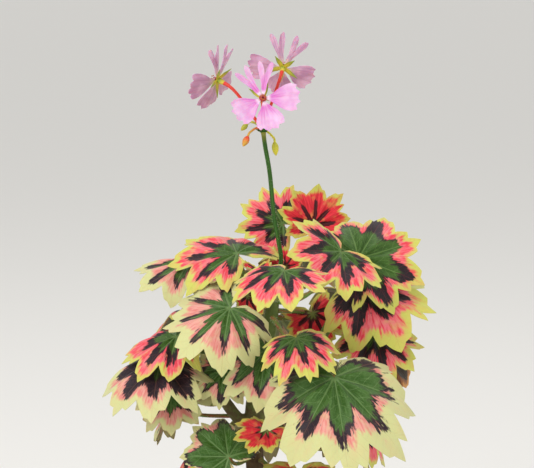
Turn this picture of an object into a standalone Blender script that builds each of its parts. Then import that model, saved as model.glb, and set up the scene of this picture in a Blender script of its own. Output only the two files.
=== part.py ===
"""A potted geranium with star-shaped, variegated leaves and one stalk of pink flowers.

The plant stands in a plain clay pot. Its origin is the middle of the pot's foot, +Z is up and
the fullest side of the plant, with its biggest leaves, looks towards -Y. Lengths are in
millimetres until they become points of a mesh, which are in metres.
"""

import math
import random
from collections import namedtuple

import bmesh
import bpy
from mathutils import Vector

MM = 0.001
UP = Vector((0.0, 0.0, 1.0))

# Touching pieces keep this gap
SEAT_GAP = 0.35
# How finely a stalk is rounded: a thin one has six sides and a thick one eight
THIN_ROUND = 1
THICK_ROUND = 2

# Clay pot: a tapered wall with a collar round the top and drain holes in its floor
POT_HEIGHT = 105.0
POT_FOOT_RADIUS = 42.0
POT_RIM_RADIUS = 62.0
POT_COLLAR_HEIGHT = 21.0
POT_COLLAR_STEP = 3.0
POT_WALL = 5.0
POT_FLOOR = 8.0
POT_EDGE = 1.2
POT_SIDES = 40
DRAIN_HOLES = 4
DRAIN_HOLE_RADIUS = 4.5
DRAIN_CIRCLE_RADIUS = 22.0
DRAIN_SIDES = 16
# A cutter reaches this far past the faces that it opens
CUTTER_OVER = 2.0

# Potting soil: a plug that fills the pot to a little below its rim, lumpy on top
SOIL_TOP = 92.0
SOIL_MOUND = 3.0
SOIL_LUMP = 0.9
SOIL_EDGE_DROP = 1.0
SOIL_FLAT_EDGE = 8.0
SOIL_RINGS = (0.0, 9.0, 17.0, 25.0, 33.0, 41.0, 48.0)
SOIL_SIDES = 28

# Woody stem: the trunk stands in a hole in the soil and forks into branches
STEM_DEPTH = 36.0
STEM_UPRIGHT_ABOVE_SOIL = 6.0
STEM_STEPS = 3
Branch = namedtuple("Branch", "points radii")
BRANCHES = {
    "trunk": Branch(
        ((0, 0, SOIL_TOP - STEM_DEPTH), (-1, 1, 104), (-6, 1, 130), (-7, 0, 155),
         (-3, -2, 182), (2, -4, 206), (4, -5, 226)),
        (5.4, 5.2, 4.8, 4.4, 4.0, 3.4, 2.6),
    ),
    "left": Branch(
        ((-7, 0, 148), (-16, -3, 156), (-25, -2, 170), (-31, -1, 186), (-34, -2, 198)),
        (3.0, 3.0, 2.8, 2.4, 2.0),
    ),
    "right": Branch(
        ((-5, -1, 164), (6, -2, 171), (20, -3, 184), (30, -2, 200), (34, -2, 212)),
        (3.0, 3.0, 2.8, 2.4, 2.0),
    ),
    "back": Branch(
        ((-6, 1, 138), (-5, 12, 148), (-2, 24, 168), (2, 30, 196), (4, 31, 212)),
        (3.2, 3.2, 3.0, 2.6, 2.2),
    ),
    "front": Branch(
        ((-6, 0, 132), (-5, -8, 139), (-2, -14, 152), (0, -16, 168)),
        (2.8, 2.8, 2.6, 2.2),
    ),
}

# Blade of a leaf: half its outline, from the middle lobe round to the notch at its foot, as an
# angle off the middle vein in degrees and a share of the leaf's size
HALF_OUTLINE = (
    (0, 1.00), (6, 0.86), (11, 0.90), (19, 0.72),
    (37, 0.98), (44, 0.83), (49, 0.86), (57, 0.66),
    (75, 0.92), (83, 0.76), (88, 0.78), (100, 0.58),
    (119, 0.76), (160, 0.24),
)
# The folds of the blade: its veins run down the valleys and the cuts between lobes sit on ridges
VEIN_ANGLES = (0, 37, 75, 118)
RIDGE_ANGLES = (19, 57, 100, 160)
INNER_SHARE = 0.45
INNER_TAPER_ANGLE = 100
INNER_TAPER = 0.75
PLEAT = 0.035
LEAF_THICKNESS = 0.8
# No two leaves are cut quite alike: each point moves by up to these shares and degrees
OUTLINE_JITTER = 0.05
ANGLE_JITTER = 1.6

# A leaf's stalk: thicker at the branch, and it meets the blade mostly from below
PETIOLE_RADIUS = 1.0
PETIOLE_THICKEST = 1.15
PETIOLE_THINNEST = 0.85
PETIOLE_STEPS = 5
PETIOLE_ARRIVE_ALONG = 0.35
PETIOLE_ARRIVE_FACE = 0.8
PETIOLE_ARRIVE_UP = 0.2
PETIOLE_LEAVE_SHARE = 0.4
PETIOLE_ARRIVE_SHARE = 0.3

# One leaf: where its stalk meets the blade, the way its face leans (degrees round from +X) and
# how far from straight up, how far its middle vein is turned from running downhill, its size
# from stalk to tip, how far the tip and the left and right halves droop, how far both halves
# are folded up along the vein, how wavy it is, and its branch with the height up that branch
Leaf = namedtuple("Leaf", "age x y z faces lean turn size tip left right fold wave branch share")
YOUNG, GROWN, PALE, WITHERED = "young", "grown", "pale", "withered"
FRONT_LEAVES = (
    Leaf(GROWN, 8, 30, 249, -90, 62, -118, 25, 5, 5, 20, 5, 0.04, "back", 1.0),
    Leaf(YOUNG, 24, 25, 249, -95, 75, 174, 22, -10, -25, -25, 10, 0.05, "trunk", 0.95),
    Leaf(GROWN, 36, -26, 243, -35, 42, -72, 31, 30, 0, 25, 10, 0.04, "trunk", 0.9),
    Leaf(GROWN, 45, -15, 238, -80, 54, 108, 36, 10, 68, 45, 5, 0.05, "trunk", 0.96),
    Leaf(GROWN, 8, -53, 238, -95, 12, -24, 29, 45, 5, 32, 0, 0.04, "trunk", 0.92),
    Leaf(GROWN, -15, -6, 239, -110, 20, -113, 36, -5, 45, 66, 5, 0.04, "trunk", 0.93),
    Leaf(PALE, -39, 10, 232, -115, 15, -80, 31, 10, 80, 60, 0, 0.05, "trunk", 0.87),
    Leaf(PALE, -18, -37, 217, -100, 36, -41, 36, 30, 90, 20, -5, 0.04, "trunk", 0.78),
    Leaf(YOUNG, -5, -17, 233, -90, 25, 0, 11, -80, -80, -80, 0, 0.04, "trunk", 0.99),
    Leaf(YOUNG, -10, -12, 219, -60, 60, 20, 14, 0, 0, 0, 20, 0.04, "trunk", 0.9),
    Leaf(YOUNG, 23, 10, 206, -90, 75, 30, 20, 0, 10, 10, 10, 0.04, "trunk", 0.86),
    Leaf(GROWN, 46, -9, 224, -65, 32, 58, 41, 5, 20, 110, -5, 0.04, "right", 0.95),
    Leaf(GROWN, 54, -5, 198, -80, 36, 5, 29, 30, 22, 35, 0, 0.04, "right", 0.65),
    Leaf(GROWN, 14, -51, 205, -85, 22, 12, 26, 45, 38, 72, 0, 0.04, "trunk", 0.84),
    Leaf(GROWN, -45, -17, 199, -110, 22, -66, 31, 35, 60, 72, 0, 0.04, "left", 1.0),
    Leaf(PALE, -53, -15, 187, -105, 24, -30, 38, 40, 35, 62, -5, 0.04, "left", 0.85),
    Leaf(PALE, -48, -10, 172, -100, 52, 5, 25, 30, 30, 60, 0, 0.04, "left", 0.5),
    Leaf(PALE, -21, -16, 183, -90, 62, -8, 21, 30, 50, 40, 0, 0.04, "trunk", 0.72),
    Leaf(PALE, 0, -28, 194, -95, 50, -8, 31, 35, 70, 45, 0, 0.04, "front", 0.95),
    Leaf(PALE, 32, -57, 187, -88, 40, 6, 51, 30, 58, 72, 0, 0.04, "right", 0.5),
    Leaf(PALE, -19, -32, 142, -100, 60, -128, 27, 20, 35, 110, 5, 0.04, "front", 0.3),
    Leaf(YOUNG, 0, -31, 155, -90, 22, -30, 18, 10, 10, 10, 15, 0.04, "front", 0.6),
    Leaf(YOUNG, 16, -30, 133, -90, 35, 0, 28, 20, 40, 40, 5, 0.04, "front", 0.2),
    Leaf(WITHERED, 61, 14, 182, -60, 70, 15, 26, 40, 90, 90, 10, 0.10, "right", 0.4),
    Leaf(PALE, -52, 6, 171, -110, 65, -10, 23, 20, 40, 40, 0, 0.04, "left", 0.4),
    Leaf(YOUNG, 9, 7, 230, -90, 70, 180, 11, -20, -30, -30, 10, 0.04, "trunk", 0.97),
)
# The rest of the plant, round its sides and back, placed the same way
BACK_LEAVES = (
    Leaf(GROWN, 18, 46, 230, 70, 30, 10, 30, 20, 45, 45, 0, 0.04, "back", 0.97),
    Leaf(GROWN, -13, 47, 221, 110, 32, -10, 31, 25, 50, 50, 0, 0.04, "back", 0.9),
    Leaf(GROWN, 42, 30, 212, 40, 40, 5, 32, 25, 50, 50, 0, 0.05, "back", 0.8),
    Leaf(GROWN, -42, 30, 204, 135, 40, 0, 30, 25, 50, 50, 0, 0.04, "back", 0.75),
    Leaf(PALE, 6, 56, 196, 88, 45, 8, 32, 25, 45, 55, 0, 0.05, "back", 0.85),
    Leaf(PALE, 42, 44, 170, 40, 50, -10, 28, 30, 55, 55, 0, 0.04, "back", 0.5),
    Leaf(PALE, -58, 41, 178, 147, 42, 5, 26, 35, 55, 55, 0, 0.04, "left", 0.8),
    Leaf(PALE, 13, 59, 164, 75, 50, 10, 28, 25, 50, 50, 0, 0.04, "back", 0.6),
    Leaf(PALE, -31, 51, 173, 118, 50, -8, 29, 25, 55, 50, 0, 0.05, "back", 0.55),
    Leaf(PALE, -48, 26, 154, 155, 50, 10, 23, 30, 55, 55, 0, 0.04, "back", 0.3),
    Leaf(PALE, 0, 52, 138, 85, 50, 0, 27, 30, 50, 50, 0, 0.04, "back", 0.35),
    Leaf(GROWN, 40, 34, 138, 45, 48, 12, 28, 30, 50, 50, 0, 0.04, "right", 0.3),
    Leaf(PALE, -30, 34, 136, 130, 50, -12, 25, 30, 50, 50, 0, 0.04, "back", 0.25),
    Leaf(GROWN, 47, 0, 152, -5, 45, 0, 27, 30, 50, 50, 0, 0.04, "right", 0.2),
    Leaf(GROWN, -36, 8, 136, 175, 45, 10, 25, 30, 50, 50, 0, 0.04, "left", 0.2),
)

# Flower stalk: it rises from the crown and ends in the knob that the umbel springs from
STALK_RADIUS = 1.1
STALK_STRAIGHT = 2.0
STALK_STEPS = 12
STALK_POINTS = ((7, -13, 236), (5.6, -13, 247), (3.4, -10, 259), (1.4, -6, 279), (-1, -3, 293))
KNOB = Vector((-2, -2, 301))
KNOB_RADIUS = 2.4
PEDICEL_RADIUS = 0.75
PEDICEL_STEPS = 8
PEDICEL_LEAVE_SHARE = 0.4
PEDICEL_ARRIVE_SHARE = 0.35

# A flower: five petals, each at an angle round the flower from straight up, with its length and
# half its spread in degrees; the two upper ones are narrow and forked, the lower ones toothed
Petal = namedtuple("Petal", "angle length spread forked")
PETALS = (
    Petal(-22, 18.0, 13, True),
    Petal(22, 18.0, 13, True),
    Petal(106, 18.5, 26, False),
    Petal(180, 17.0, 29, False),
    Petal(254, 17.0, 28, False),
)
# A petal's edge from its claw outward, and its tip from that edge to the middle, as a share of
# the length and a share of the spread
PETAL_EDGE = ((0.38, 0.85), (0.66, 0.95), (0.86, 1.0))
TOOTHED_TIP = ((0.96, 0.78), (0.90, 0.52), (1.0, 0.30), (0.93, 0.0))
FORKED_TIP = ((1.0, 0.85), (0.92, 0.45), (0.72, 0.0))
PETAL_THICKNESS = 0.7
PETAL_BOWL = 0.14
THROAT_RADIUS = 1.5
CLAW_HALF_ANGLE = 20
HEART_ROW = 2
HEART_SHARE = 0.8

# The calyx behind the petals: five narrow sepals that bend back from a short tube
SEPALS = 5
SEPAL_LENGTH = 8.5
SEPAL_HALF_WIDTH = 1.1
SEPAL_WIDEST = 0.45
SEPAL_BACK = 0.3
SEPAL_THICKNESS = 0.6
SEPAL_BASE_SHARE = 0.8
CALYX_TUBE_RADIUS = 1.4
CALYX_TUBE_END_RADIUS = 0.9
CALYX_TUBE_LENGTH = 4.0
CALYX_TUBE_SUNK = 0.2

# Each open flower: the middle of its throat, the way it faces (degrees round, then up), its roll
Flower = namedtuple("Flower", "name x y z azimuth tilt roll")
FLOWERS = (
    Flower("front", -2, -15, 317, -88, 12, -17),
    Flower("left", -25, 3, 325, 145, 20, 0),
    Flower("right", 8, 5, 331, 82, 25, -14),
)

# Buds: the points of a thin stalk from the knob and the bud's half length and radius
Bud = namedtuple("Bud", "points half_length radius")
BUD_STALK_RADIUS = 0.55
BUD_ON_STALK = 0.8
BUDS = (
    Bud(((-5.5, -6.0, 301.5), (-8.5, -8.0, 299.5), (-9.5, -8.5, 297.5)), 3.0, 1.6),
    Bud(((-6.0, 1.0, 303.5), (-8.5, 2.0, 304.0), (-10, 2.5, 302.5)), 2.4, 1.3),
    Bud(((1.5, 2.0, 298.0), (3.6, 2.8, 295.5), (3.8, 2.6, 293.5)), 3.6, 1.7),
)

MATERIALS = {
    "clay": ((0.58, 0.27, 0.15), 0.85),
    "soil": ((0.06, 0.04, 0.03), 0.95),
    "stem": ((0.16, 0.15, 0.06), 0.7),
    "green_stalk": ((0.05, 0.16, 0.03), 0.5),
    "red_stalk": ((0.75, 0.07, 0.04), 0.5),
    "sepal": ((0.55, 0.55, 0.10), 0.6),
    "petal": ((0.85, 0.48, 0.80), 0.55),
    YOUNG: ((0.80, 0.12, 0.06), 0.5),
    GROWN: ((0.80, 0.35, 0.16), 0.5),
    PALE: ((0.72, 0.66, 0.22), 0.55),
    WITHERED: ((0.35, 0.20, 0.08), 0.8),
}


def material(name):
    colour, roughness = MATERIALS[name]
    made = bpy.data.materials.get(name) or bpy.data.materials.new(name)
    made.use_nodes = True
    shader = made.node_tree.nodes["Principled BSDF"]
    shader.inputs["Base Color"].default_value = (*colour, 1.0)
    shader.inputs["Roughness"].default_value = roughness
    shader.inputs["Metallic"].default_value = 0.0
    return made


def link(obj, finish):
    obj.data.materials.append(material(finish))
    plant.objects.link(obj)
    return obj


def mesh_object(name, shape):
    """An object that holds the bmesh, which is then freed."""
    mesh = bpy.data.meshes.new(name)
    shape.to_mesh(mesh)
    shape.free()
    return bpy.data.objects.new(name, mesh)


def thick_sheet(name, shape, thickness):
    """The open surface in the bmesh, made solid to its back."""
    sheet = mesh_object(name, shape)
    thick = sheet.modifiers.new("thickness", "SOLIDIFY")
    thick.thickness = thickness * MM
    thick.offset = -1.0
    return applied(sheet)


def evaluated_mesh(obj):
    bpy.context.view_layer.update()
    graph = bpy.context.evaluated_depsgraph_get()
    return bpy.data.meshes.new_from_object(obj.evaluated_get(graph))


def applied(obj):
    """The object with its modifiers made part of its mesh."""
    plant.objects.link(obj)
    mesh = evaluated_mesh(obj)
    obj.modifiers.clear()
    obj.data = mesh
    plant.objects.unlink(obj)
    return obj


def tube(name, points, radii, resolution):
    """A round stalk along smooth points, as a closed mesh."""
    curve = bpy.data.curves.new(name, "CURVE")
    curve.dimensions = "3D"
    curve.bevel_depth = MM
    curve.bevel_resolution = resolution
    curve.use_fill_caps = True
    spline = curve.splines.new("POLY")
    spline.points.add(len(points) - 1)
    for place, point, radius in zip(spline.points, points, radii):
        place.co = (*(Vector(point) * MM), 1.0)
        place.radius = radius
    holder = bpy.data.objects.new(name + "_curve", curve)
    plant.objects.link(holder)
    mesh = evaluated_mesh(holder)
    bpy.data.objects.remove(holder)
    shape = bmesh.new()
    shape.from_mesh(mesh)
    bmesh.ops.remove_doubles(shape, verts=shape.verts, dist=0.00001)
    bmesh.ops.recalc_face_normals(shape, faces=shape.faces)
    return mesh_object(name, shape)


def fuse(base, others):
    """One body from the base and the others, which are then removed."""
    joining = bpy.data.collections.new("joining")
    bpy.context.scene.collection.children.link(joining)
    for other in others:
        joining.objects.link(other)
    union = base.modifiers.new("union", "BOOLEAN")
    union.operation = "UNION"
    union.operand_type = "COLLECTION"
    union.collection = joining
    union.solver = "EXACT"
    applied(base)
    for other in others:
        bpy.data.objects.remove(other)
    bpy.data.collections.remove(joining)
    return base


def along_curve(points, share):
    """The point at this share of a smooth curve through the points, and the curve's direction."""
    last = len(points) - 1
    place = min(max(share, 0.0), 1.0) * last
    first = min(int(place), last - 1)
    t = place - first
    p = [Vector(points[min(max(first + k, 0), last)]) for k in (-1, 0, 1, 2)]
    a = 2 * p[1]
    b = p[2] - p[0]
    c = 2 * p[0] - 5 * p[1] + 4 * p[2] - p[3]
    d = 3 * p[1] - p[0] - 3 * p[2] + p[3]
    where = (a + b * t + c * t * t + d * t**3) / 2
    way = (b + 2 * c * t + 3 * d * t * t) / 2
    return where, way.normalized()


def smooth_points(points, steps):
    return [along_curve(points, k / steps)[0] for k in range(steps + 1)]


def bezier(handles, steps):
    """Points along the cubic curve with these four handles."""
    a, b, c, d = handles
    points = []
    for k in range(steps + 1):
        t = k / steps
        points.append(
            a * (1 - t) ** 3 + b * 3 * t * (1 - t) ** 2 + c * 3 * t * t * (1 - t) + d * t**3
        )
    return points


def mixed(values, share):
    """The value at this share along a row of values."""
    place = min(max(share, 0.0), 1.0) * (len(values) - 1)
    first = min(int(place), len(values) - 2)
    return values[first] + (values[first + 1] - values[first]) * (place - first)


def turned(name, profile, sides):
    """A profile of (radius, height) pairs, turned once round the upright axis."""
    shape = bmesh.new()
    points = [shape.verts.new((radius * MM, 0.0, height * MM)) for radius, height in profile]
    for pair in zip(points, points[1:]):
        shape.edges.new(pair)
    obj = mesh_object(name, shape)
    screw = obj.modifiers.new("turn", "SCREW")
    screw.steps = screw.render_steps = sides
    screw.use_merge_vertices = True
    screw.merge_threshold = 0.00001
    return applied(obj)


def upright_cylinder(name, radius, low, high, x=0.0, y=0.0, sides=24):
    shape = bmesh.new()
    bmesh.ops.create_cone(
        shape, cap_ends=True, segments=sides,
        radius1=radius * MM, radius2=radius * MM, depth=(high - low) * MM,
    )
    bmesh.ops.translate(shape, verts=shape.verts, vec=Vector((x, y, (low + high) / 2)) * MM)
    return mesh_object(name, shape)


def cut(base, cutters):
    """Takes the cutters out of the base."""
    for number, cutter in enumerate(cutters):
        cutter.hide_render = True
        cutter.display_type = "WIRE"
        tools.objects.link(cutter)
        hole = base.modifiers.new(f"hole_{number}", "BOOLEAN")
        hole.operation = "DIFFERENCE"
        hole.object = cutter
    return base


def pot_inner_radius(height):
    """The inside radius of the pot's wall at this height."""
    outer_slope = (POT_RIM_RADIUS - POT_COLLAR_STEP - POT_FOOT_RADIUS) / POT_HEIGHT
    return POT_FOOT_RADIUS + outer_slope * height - POT_WALL


def make_pot():
    collar_foot = POT_HEIGHT - POT_COLLAR_HEIGHT
    outer_at_collar = pot_inner_radius(collar_foot) + POT_WALL
    rim_inner = pot_inner_radius(POT_HEIGHT)
    profile = (
        (0, POT_FLOOR),
        (pot_inner_radius(POT_FLOOR), POT_FLOOR),
        (rim_inner, POT_HEIGHT - POT_EDGE),
        (rim_inner + POT_EDGE, POT_HEIGHT),
        (POT_RIM_RADIUS - POT_EDGE, POT_HEIGHT),
        (POT_RIM_RADIUS, POT_HEIGHT - POT_EDGE),
        (POT_RIM_RADIUS - POT_COLLAR_STEP / 2, collar_foot + POT_EDGE),
        (POT_RIM_RADIUS - POT_COLLAR_STEP, collar_foot),
        (outer_at_collar, collar_foot - POT_EDGE),
        (POT_FOOT_RADIUS, POT_EDGE),
        (POT_FOOT_RADIUS - POT_EDGE, 0),
        (0, 0),
    )
    pot = turned("pot", profile, POT_SIDES)
    drains = []
    for number in range(DRAIN_HOLES):
        angle = math.tau * (number + 0.5) / DRAIN_HOLES
        x, y = DRAIN_CIRCLE_RADIUS * math.cos(angle), DRAIN_CIRCLE_RADIUS * math.sin(angle)
        drains.append(upright_cylinder(
            f"drain_{number}", DRAIN_HOLE_RADIUS, -CUTTER_OVER, POT_FLOOR + CUTTER_OVER,
            x, y, DRAIN_SIDES,
        ))
    cut(pot, drains)
    pot.data.shade_smooth()
    return link(pot, "clay")


def soil_lump(x, y):
    """How far the lumpy top of the soil stands up here: two crossing waves, some 20 mm long."""
    return SOIL_LUMP * (math.sin(0.31 * x + 1.3) * math.cos(0.27 * y) + math.sin(0.17 * (x + y)))


def make_soil():
    top_radius = pot_inner_radius(SOIL_TOP) - SEAT_GAP
    foot = POT_FLOOR + SEAT_GAP
    outer = SOIL_RINGS[-1]
    rings = [(r, SOIL_TOP + SOIL_MOUND * (1 - (r / outer) ** 2)) for r in SOIL_RINGS]
    profile = [
        *rings,
        (top_radius, SOIL_TOP - SOIL_EDGE_DROP),
        (pot_inner_radius(foot) - SEAT_GAP, foot),
        (0, foot),
    ]
    soil = turned("soil", profile, SOIL_SIDES)
    for vertex in soil.data.vertices:
        x, y, z = vertex.co / MM
        if z > SOIL_TOP - SOIL_EDGE_DROP / 2:
            fade = min(1.0, (top_radius - math.hypot(x, y)) / SOIL_FLAT_EDGE)
            vertex.co.z += soil_lump(x, y) * fade * MM
    hole_radius = BRANCHES["trunk"].radii[0] + SEAT_GAP
    hole_foot = SOIL_TOP - STEM_DEPTH - SEAT_GAP
    hole_top = SOIL_TOP + SOIL_MOUND + 2 * SOIL_LUMP + CUTTER_OVER
    cut(soil, [upright_cylinder("stem_hole", hole_radius, hole_foot, hole_top)])
    return link(soil, "soil")


def make_stem():
    parts = []
    for name, branch in BRANCHES.items():
        points = smooth_points(branch.points, STEM_STEPS * (len(branch.points) - 1))
        if name == "trunk":
            upright_end = Vector((0, 0, SOIL_TOP + STEM_UPRIGHT_ABOVE_SOIL))
            points = [Vector(branch.points[0]), upright_end, *points[STEM_STEPS:]]
        radii = [mixed(branch.radii, k / (len(points) - 1)) for k in range(len(points))]
        parts.append(tube(name, points, radii, THICK_ROUND))
    stem = fuse(parts[0], parts[1:])
    stem.name = "stem"
    return link(stem, "stem")


def socket(branch_name, share, towards):
    """Where a stalk that leaves this branch towards a point starts, and the way it leaves."""
    branch = BRANCHES[branch_name]
    middle, way = along_curve(branch.points, share)
    out = Vector(towards) - middle
    out = (out - way * out.dot(way)).normalized()
    return middle + out * (mixed(branch.radii, share) + SEAT_GAP), out


def leaf_axes(leaf):
    """The blade's three directions: along its middle vein, to its right side and off its face."""
    faces, lean, turn = (math.radians(a) for a in (leaf.faces, leaf.lean, leaf.turn))
    outward = Vector((math.cos(faces), math.sin(faces), 0.0))
    face = outward * math.sin(lean) + UP * math.cos(lean)
    downhill = outward * math.cos(lean) - UP * math.sin(lean)
    along = downhill * math.cos(turn) + face.cross(downhill) * math.sin(turn)
    return along, along.cross(face), face


def bent(leaf, axes, angle, reach):
    """Where a point of the flat blade lies on the bent one. Angle is in radians off the middle
    vein, to the right, and reach in millimetres from the stalk."""
    along, side, face = axes
    share = max(math.cos(angle), 0.0) ** 2
    droop = math.radians(leaf.right if angle > 0 else leaf.left)
    curl = (math.radians(leaf.tip) * share + droop * (1 - share)) / leaf.size
    start = -math.radians(leaf.fold) * math.sin(angle) ** 2
    if abs(curl) < 1e-6:
        out, down = reach * math.cos(start), reach * math.sin(start)
    else:
        out = (math.sin(start + curl * reach) - math.sin(start)) / curl
        down = (math.cos(start) - math.cos(start + curl * reach)) / curl
    t = reach / leaf.size
    lift = leaf.size * leaf.wave * t * t * math.sin(3 * angle + leaf.x)
    return (
        Vector((leaf.x, leaf.y, leaf.z))
        + (along * math.cos(angle) + side * math.sin(angle)) * out
        + face * (lift - down)
    )


def leaf_outline(leaf, seed):
    """The whole outline, left to right, as (angle in degrees, share of the size)."""
    draw = random.Random(seed)
    whole = []
    for sign in (-1, 1):
        half = []
        for angle, share in HALF_OUTLINE[1:]:
            turn = draw.uniform(-ANGLE_JITTER, ANGLE_JITTER)
            grow = 1 + draw.uniform(-OUTLINE_JITTER, OUTLINE_JITTER)
            half.append((sign * (angle + turn), share * grow))
        whole.append(half)
    return [*reversed(whole[0]), HALF_OUTLINE[0], *whole[1]]


def make_blade(name, leaf, seed):
    """The leaf's thin blade: a fan from the stalk to an inner ring, then a strip to the outline."""
    axes = leaf_axes(leaf)
    face = axes[2]
    shape = bmesh.new()
    outer = []
    for angle, share in leaf_outline(leaf, seed):
        point = bent(leaf, axes, math.radians(angle), leaf.size * share)
        outer.append((angle, shape.verts.new(point * MM)))
    inner = []
    turns = sorted({sign * a for a in (*VEIN_ANGLES, *RIDGE_ANGLES) for sign in (-1, 1)})
    for angle in turns:
        over = max(0.0, (abs(angle) - INNER_TAPER_ANGLE) / (RIDGE_ANGLES[-1] - INNER_TAPER_ANGLE))
        share = INNER_SHARE * (1 - INNER_TAPER * over)
        pleat = PLEAT if abs(angle) in RIDGE_ANGLES else -PLEAT
        point = bent(leaf, axes, math.radians(angle), leaf.size * share)
        point += face * pleat * leaf.size * (1 - over)
        inner.append((angle, shape.verts.new(point * MM)))
    centre = shape.verts.new(Vector((leaf.x, leaf.y, leaf.z)) * MM)
    for (_, a), (_, b) in zip(inner, inner[1:]):
        shape.faces.new((centre, b, a))
    i = j = 0
    while i < len(inner) - 1 or j < len(outer) - 1:
        step_inner = j == len(outer) - 1 or (
            i < len(inner) - 1 and inner[i + 1][0] <= outer[j + 1][0]
        )
        if step_inner:
            shape.faces.new((inner[i][1], inner[i + 1][1], outer[j][1]))
            i += 1
        else:
            shape.faces.new((inner[i][1], outer[j + 1][1], outer[j][1]))
            j += 1
    return thick_sheet(name, shape, LEAF_THICKNESS)


def petiole_points(leaf):
    """The leaf's stalk: it leaves the branch square to it and rises to the blade's foot."""
    along, _, face = leaf_axes(leaf)
    foot = Vector((leaf.x, leaf.y, leaf.z)) - face * LEAF_THICKNESS / 2
    start, out = socket(leaf.branch, leaf.share, foot)
    span = (foot - start).length
    arrive = along * PETIOLE_ARRIVE_ALONG + face * PETIOLE_ARRIVE_FACE + UP * PETIOLE_ARRIVE_UP
    handles = (
        start,
        start + out * span * PETIOLE_LEAVE_SHARE,
        foot - arrive.normalized() * span * PETIOLE_ARRIVE_SHARE,
        foot,
    )
    return bezier(handles, PETIOLE_STEPS)


def make_leaf(number, leaf):
    name = f"leaf_{number:02d}"
    blade = make_blade(name, leaf, number)
    points = petiole_points(leaf)
    ends = (PETIOLE_RADIUS * PETIOLE_THICKEST, PETIOLE_RADIUS * PETIOLE_THINNEST)
    radii = [mixed(ends, k / PETIOLE_STEPS) for k in range(len(points))]
    stalk = tube(name + "_stalk", points, radii, THIN_ROUND)
    fuse(blade, [stalk])
    return link(blade, leaf.age)


def flower_axes(flower):
    """The flower's three directions: to its right and up as it is looked at, and where it faces."""
    azimuth, tilt, roll = (math.radians(a) for a in (flower.azimuth, flower.tilt, flower.roll))
    facing = Vector((
        math.cos(tilt) * math.cos(azimuth),
        math.cos(tilt) * math.sin(azimuth),
        math.sin(tilt),
    ))
    right = UP.cross(facing).normalized()
    up = facing.cross(right)
    return (
        right * math.cos(roll) - up * math.sin(roll),
        up * math.cos(roll) + right * math.sin(roll),
        facing,
    )


def flower_point(flower, axes, angle, reach, height):
    """A point of the flower, at an angle round it in degrees and millimetres out and forward."""
    right, up, facing = axes
    turn = math.radians(angle)
    out = right * math.sin(turn) + up * math.cos(turn)
    return Vector((flower.x, flower.y, flower.z)) + out * reach + facing * height


def petal_side(vertex, petal, side):
    """One edge of a petal, from beside its claw to the last tooth before the middle."""
    tip = FORKED_TIP if petal.forked else TOOTHED_TIP
    base = vertex(petal.angle + side * CLAW_HALF_ANGLE, THROAT_RADIUS, petal.length)
    edge = [
        vertex(petal.angle + side * petal.spread * spread, petal.length * share, petal.length)
        for share, spread in (*PETAL_EDGE, *tip[:-1])
    ]
    return [base, *edge]


def add_petal(shape, vertex, petal):
    """The petal's faces: a strip up to its heart, then a fan from the heart to either half of
    its tip. A forked petal's heart is the bottom of its fork."""
    left, right = (petal_side(vertex, petal, side) for side in (-1, 1))
    for k in range(HEART_ROW):
        shape.faces.new((left[k], right[k], right[k + 1]))
        shape.faces.new((left[k], right[k + 1], left[k + 1]))
    fork, end = FORKED_TIP[-1][0], TOOTHED_TIP[-1][0]
    if petal.forked:
        heart = vertex(petal.angle, petal.length * fork, petal.length)
        middle = []
    else:
        heart = vertex(petal.angle, petal.length * HEART_SHARE, petal.length)
        middle = [vertex(petal.angle, petal.length * end, petal.length)]
    shape.faces.new((left[HEART_ROW], right[HEART_ROW], heart))
    left_rim = [*left[HEART_ROW:], *middle]
    right_rim = [*right[HEART_ROW:], *middle]
    for a, b in zip(left_rim, left_rim[1:]):
        shape.faces.new((heart, b, a))
    for a, b in zip(right_rim, right_rim[1:]):
        shape.faces.new((heart, a, b))
    return left[0], right[0]


def make_corolla(flower):
    axes = flower_axes(flower)
    shape = bmesh.new()

    def vertex(angle, reach, length):
        height = PETAL_BOWL * reach * reach / length
        return shape.verts.new(flower_point(flower, axes, angle, reach, height) * MM)

    centre = vertex(0, 0, 1)
    ring = [claw for petal in PETALS for claw in add_petal(shape, vertex, petal)]
    for a, b in zip(ring, [*ring[1:], ring[0]]):
        shape.faces.new((centre, b, a))
    return link(thick_sheet("corolla_" + flower.name, shape, PETAL_THICKNESS), "petal")


def make_calyx(flower):
    axes = flower_axes(flower)
    front = -PETAL_THICKNESS - SEAT_GAP
    shape = bmesh.new()

    def vertex(angle, reach):
        height = front - SEPAL_BACK * max(0.0, reach - CALYX_TUBE_RADIUS)
        return shape.verts.new(flower_point(flower, axes, angle, reach, height) * MM)

    centre = vertex(0, 0)
    ring = []
    for number in range(SEPALS):
        angle = 360 * (number + 0.5) / SEPALS
        tip = vertex(angle, SEPAL_LENGTH)
        sides = []
        for side in (-1, 1):
            spread = side * math.degrees(SEPAL_HALF_WIDTH / (SEPAL_LENGTH * SEPAL_WIDEST))
            base = vertex(angle + side * 180 / SEPALS * SEPAL_BASE_SHARE, CALYX_TUBE_RADIUS)
            sides.append((base, vertex(angle + spread, SEPAL_LENGTH * SEPAL_WIDEST)))
        (left, left_wide), (right, right_wide) = sides
        shape.faces.new((left, right, right_wide))
        shape.faces.new((left, right_wide, left_wide))
        shape.faces.new((left_wide, right_wide, tip))
        ring += [left, right]
    for a, b in zip(ring, [*ring[1:], ring[0]]):
        shape.faces.new((centre, b, a))
    sepals = thick_sheet("calyx_" + flower.name, shape, SEPAL_THICKNESS)
    depths = (CALYX_TUBE_SUNK, CALYX_TUBE_LENGTH)
    ends = [flower_point(flower, axes, 0, 0, front - depth) for depth in depths]
    cup = tube("calyx_tube", ends, (CALYX_TUBE_RADIUS, CALYX_TUBE_END_RADIUS), THICK_ROUND)
    return link(fuse(sepals, [cup]), "sepal")


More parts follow.
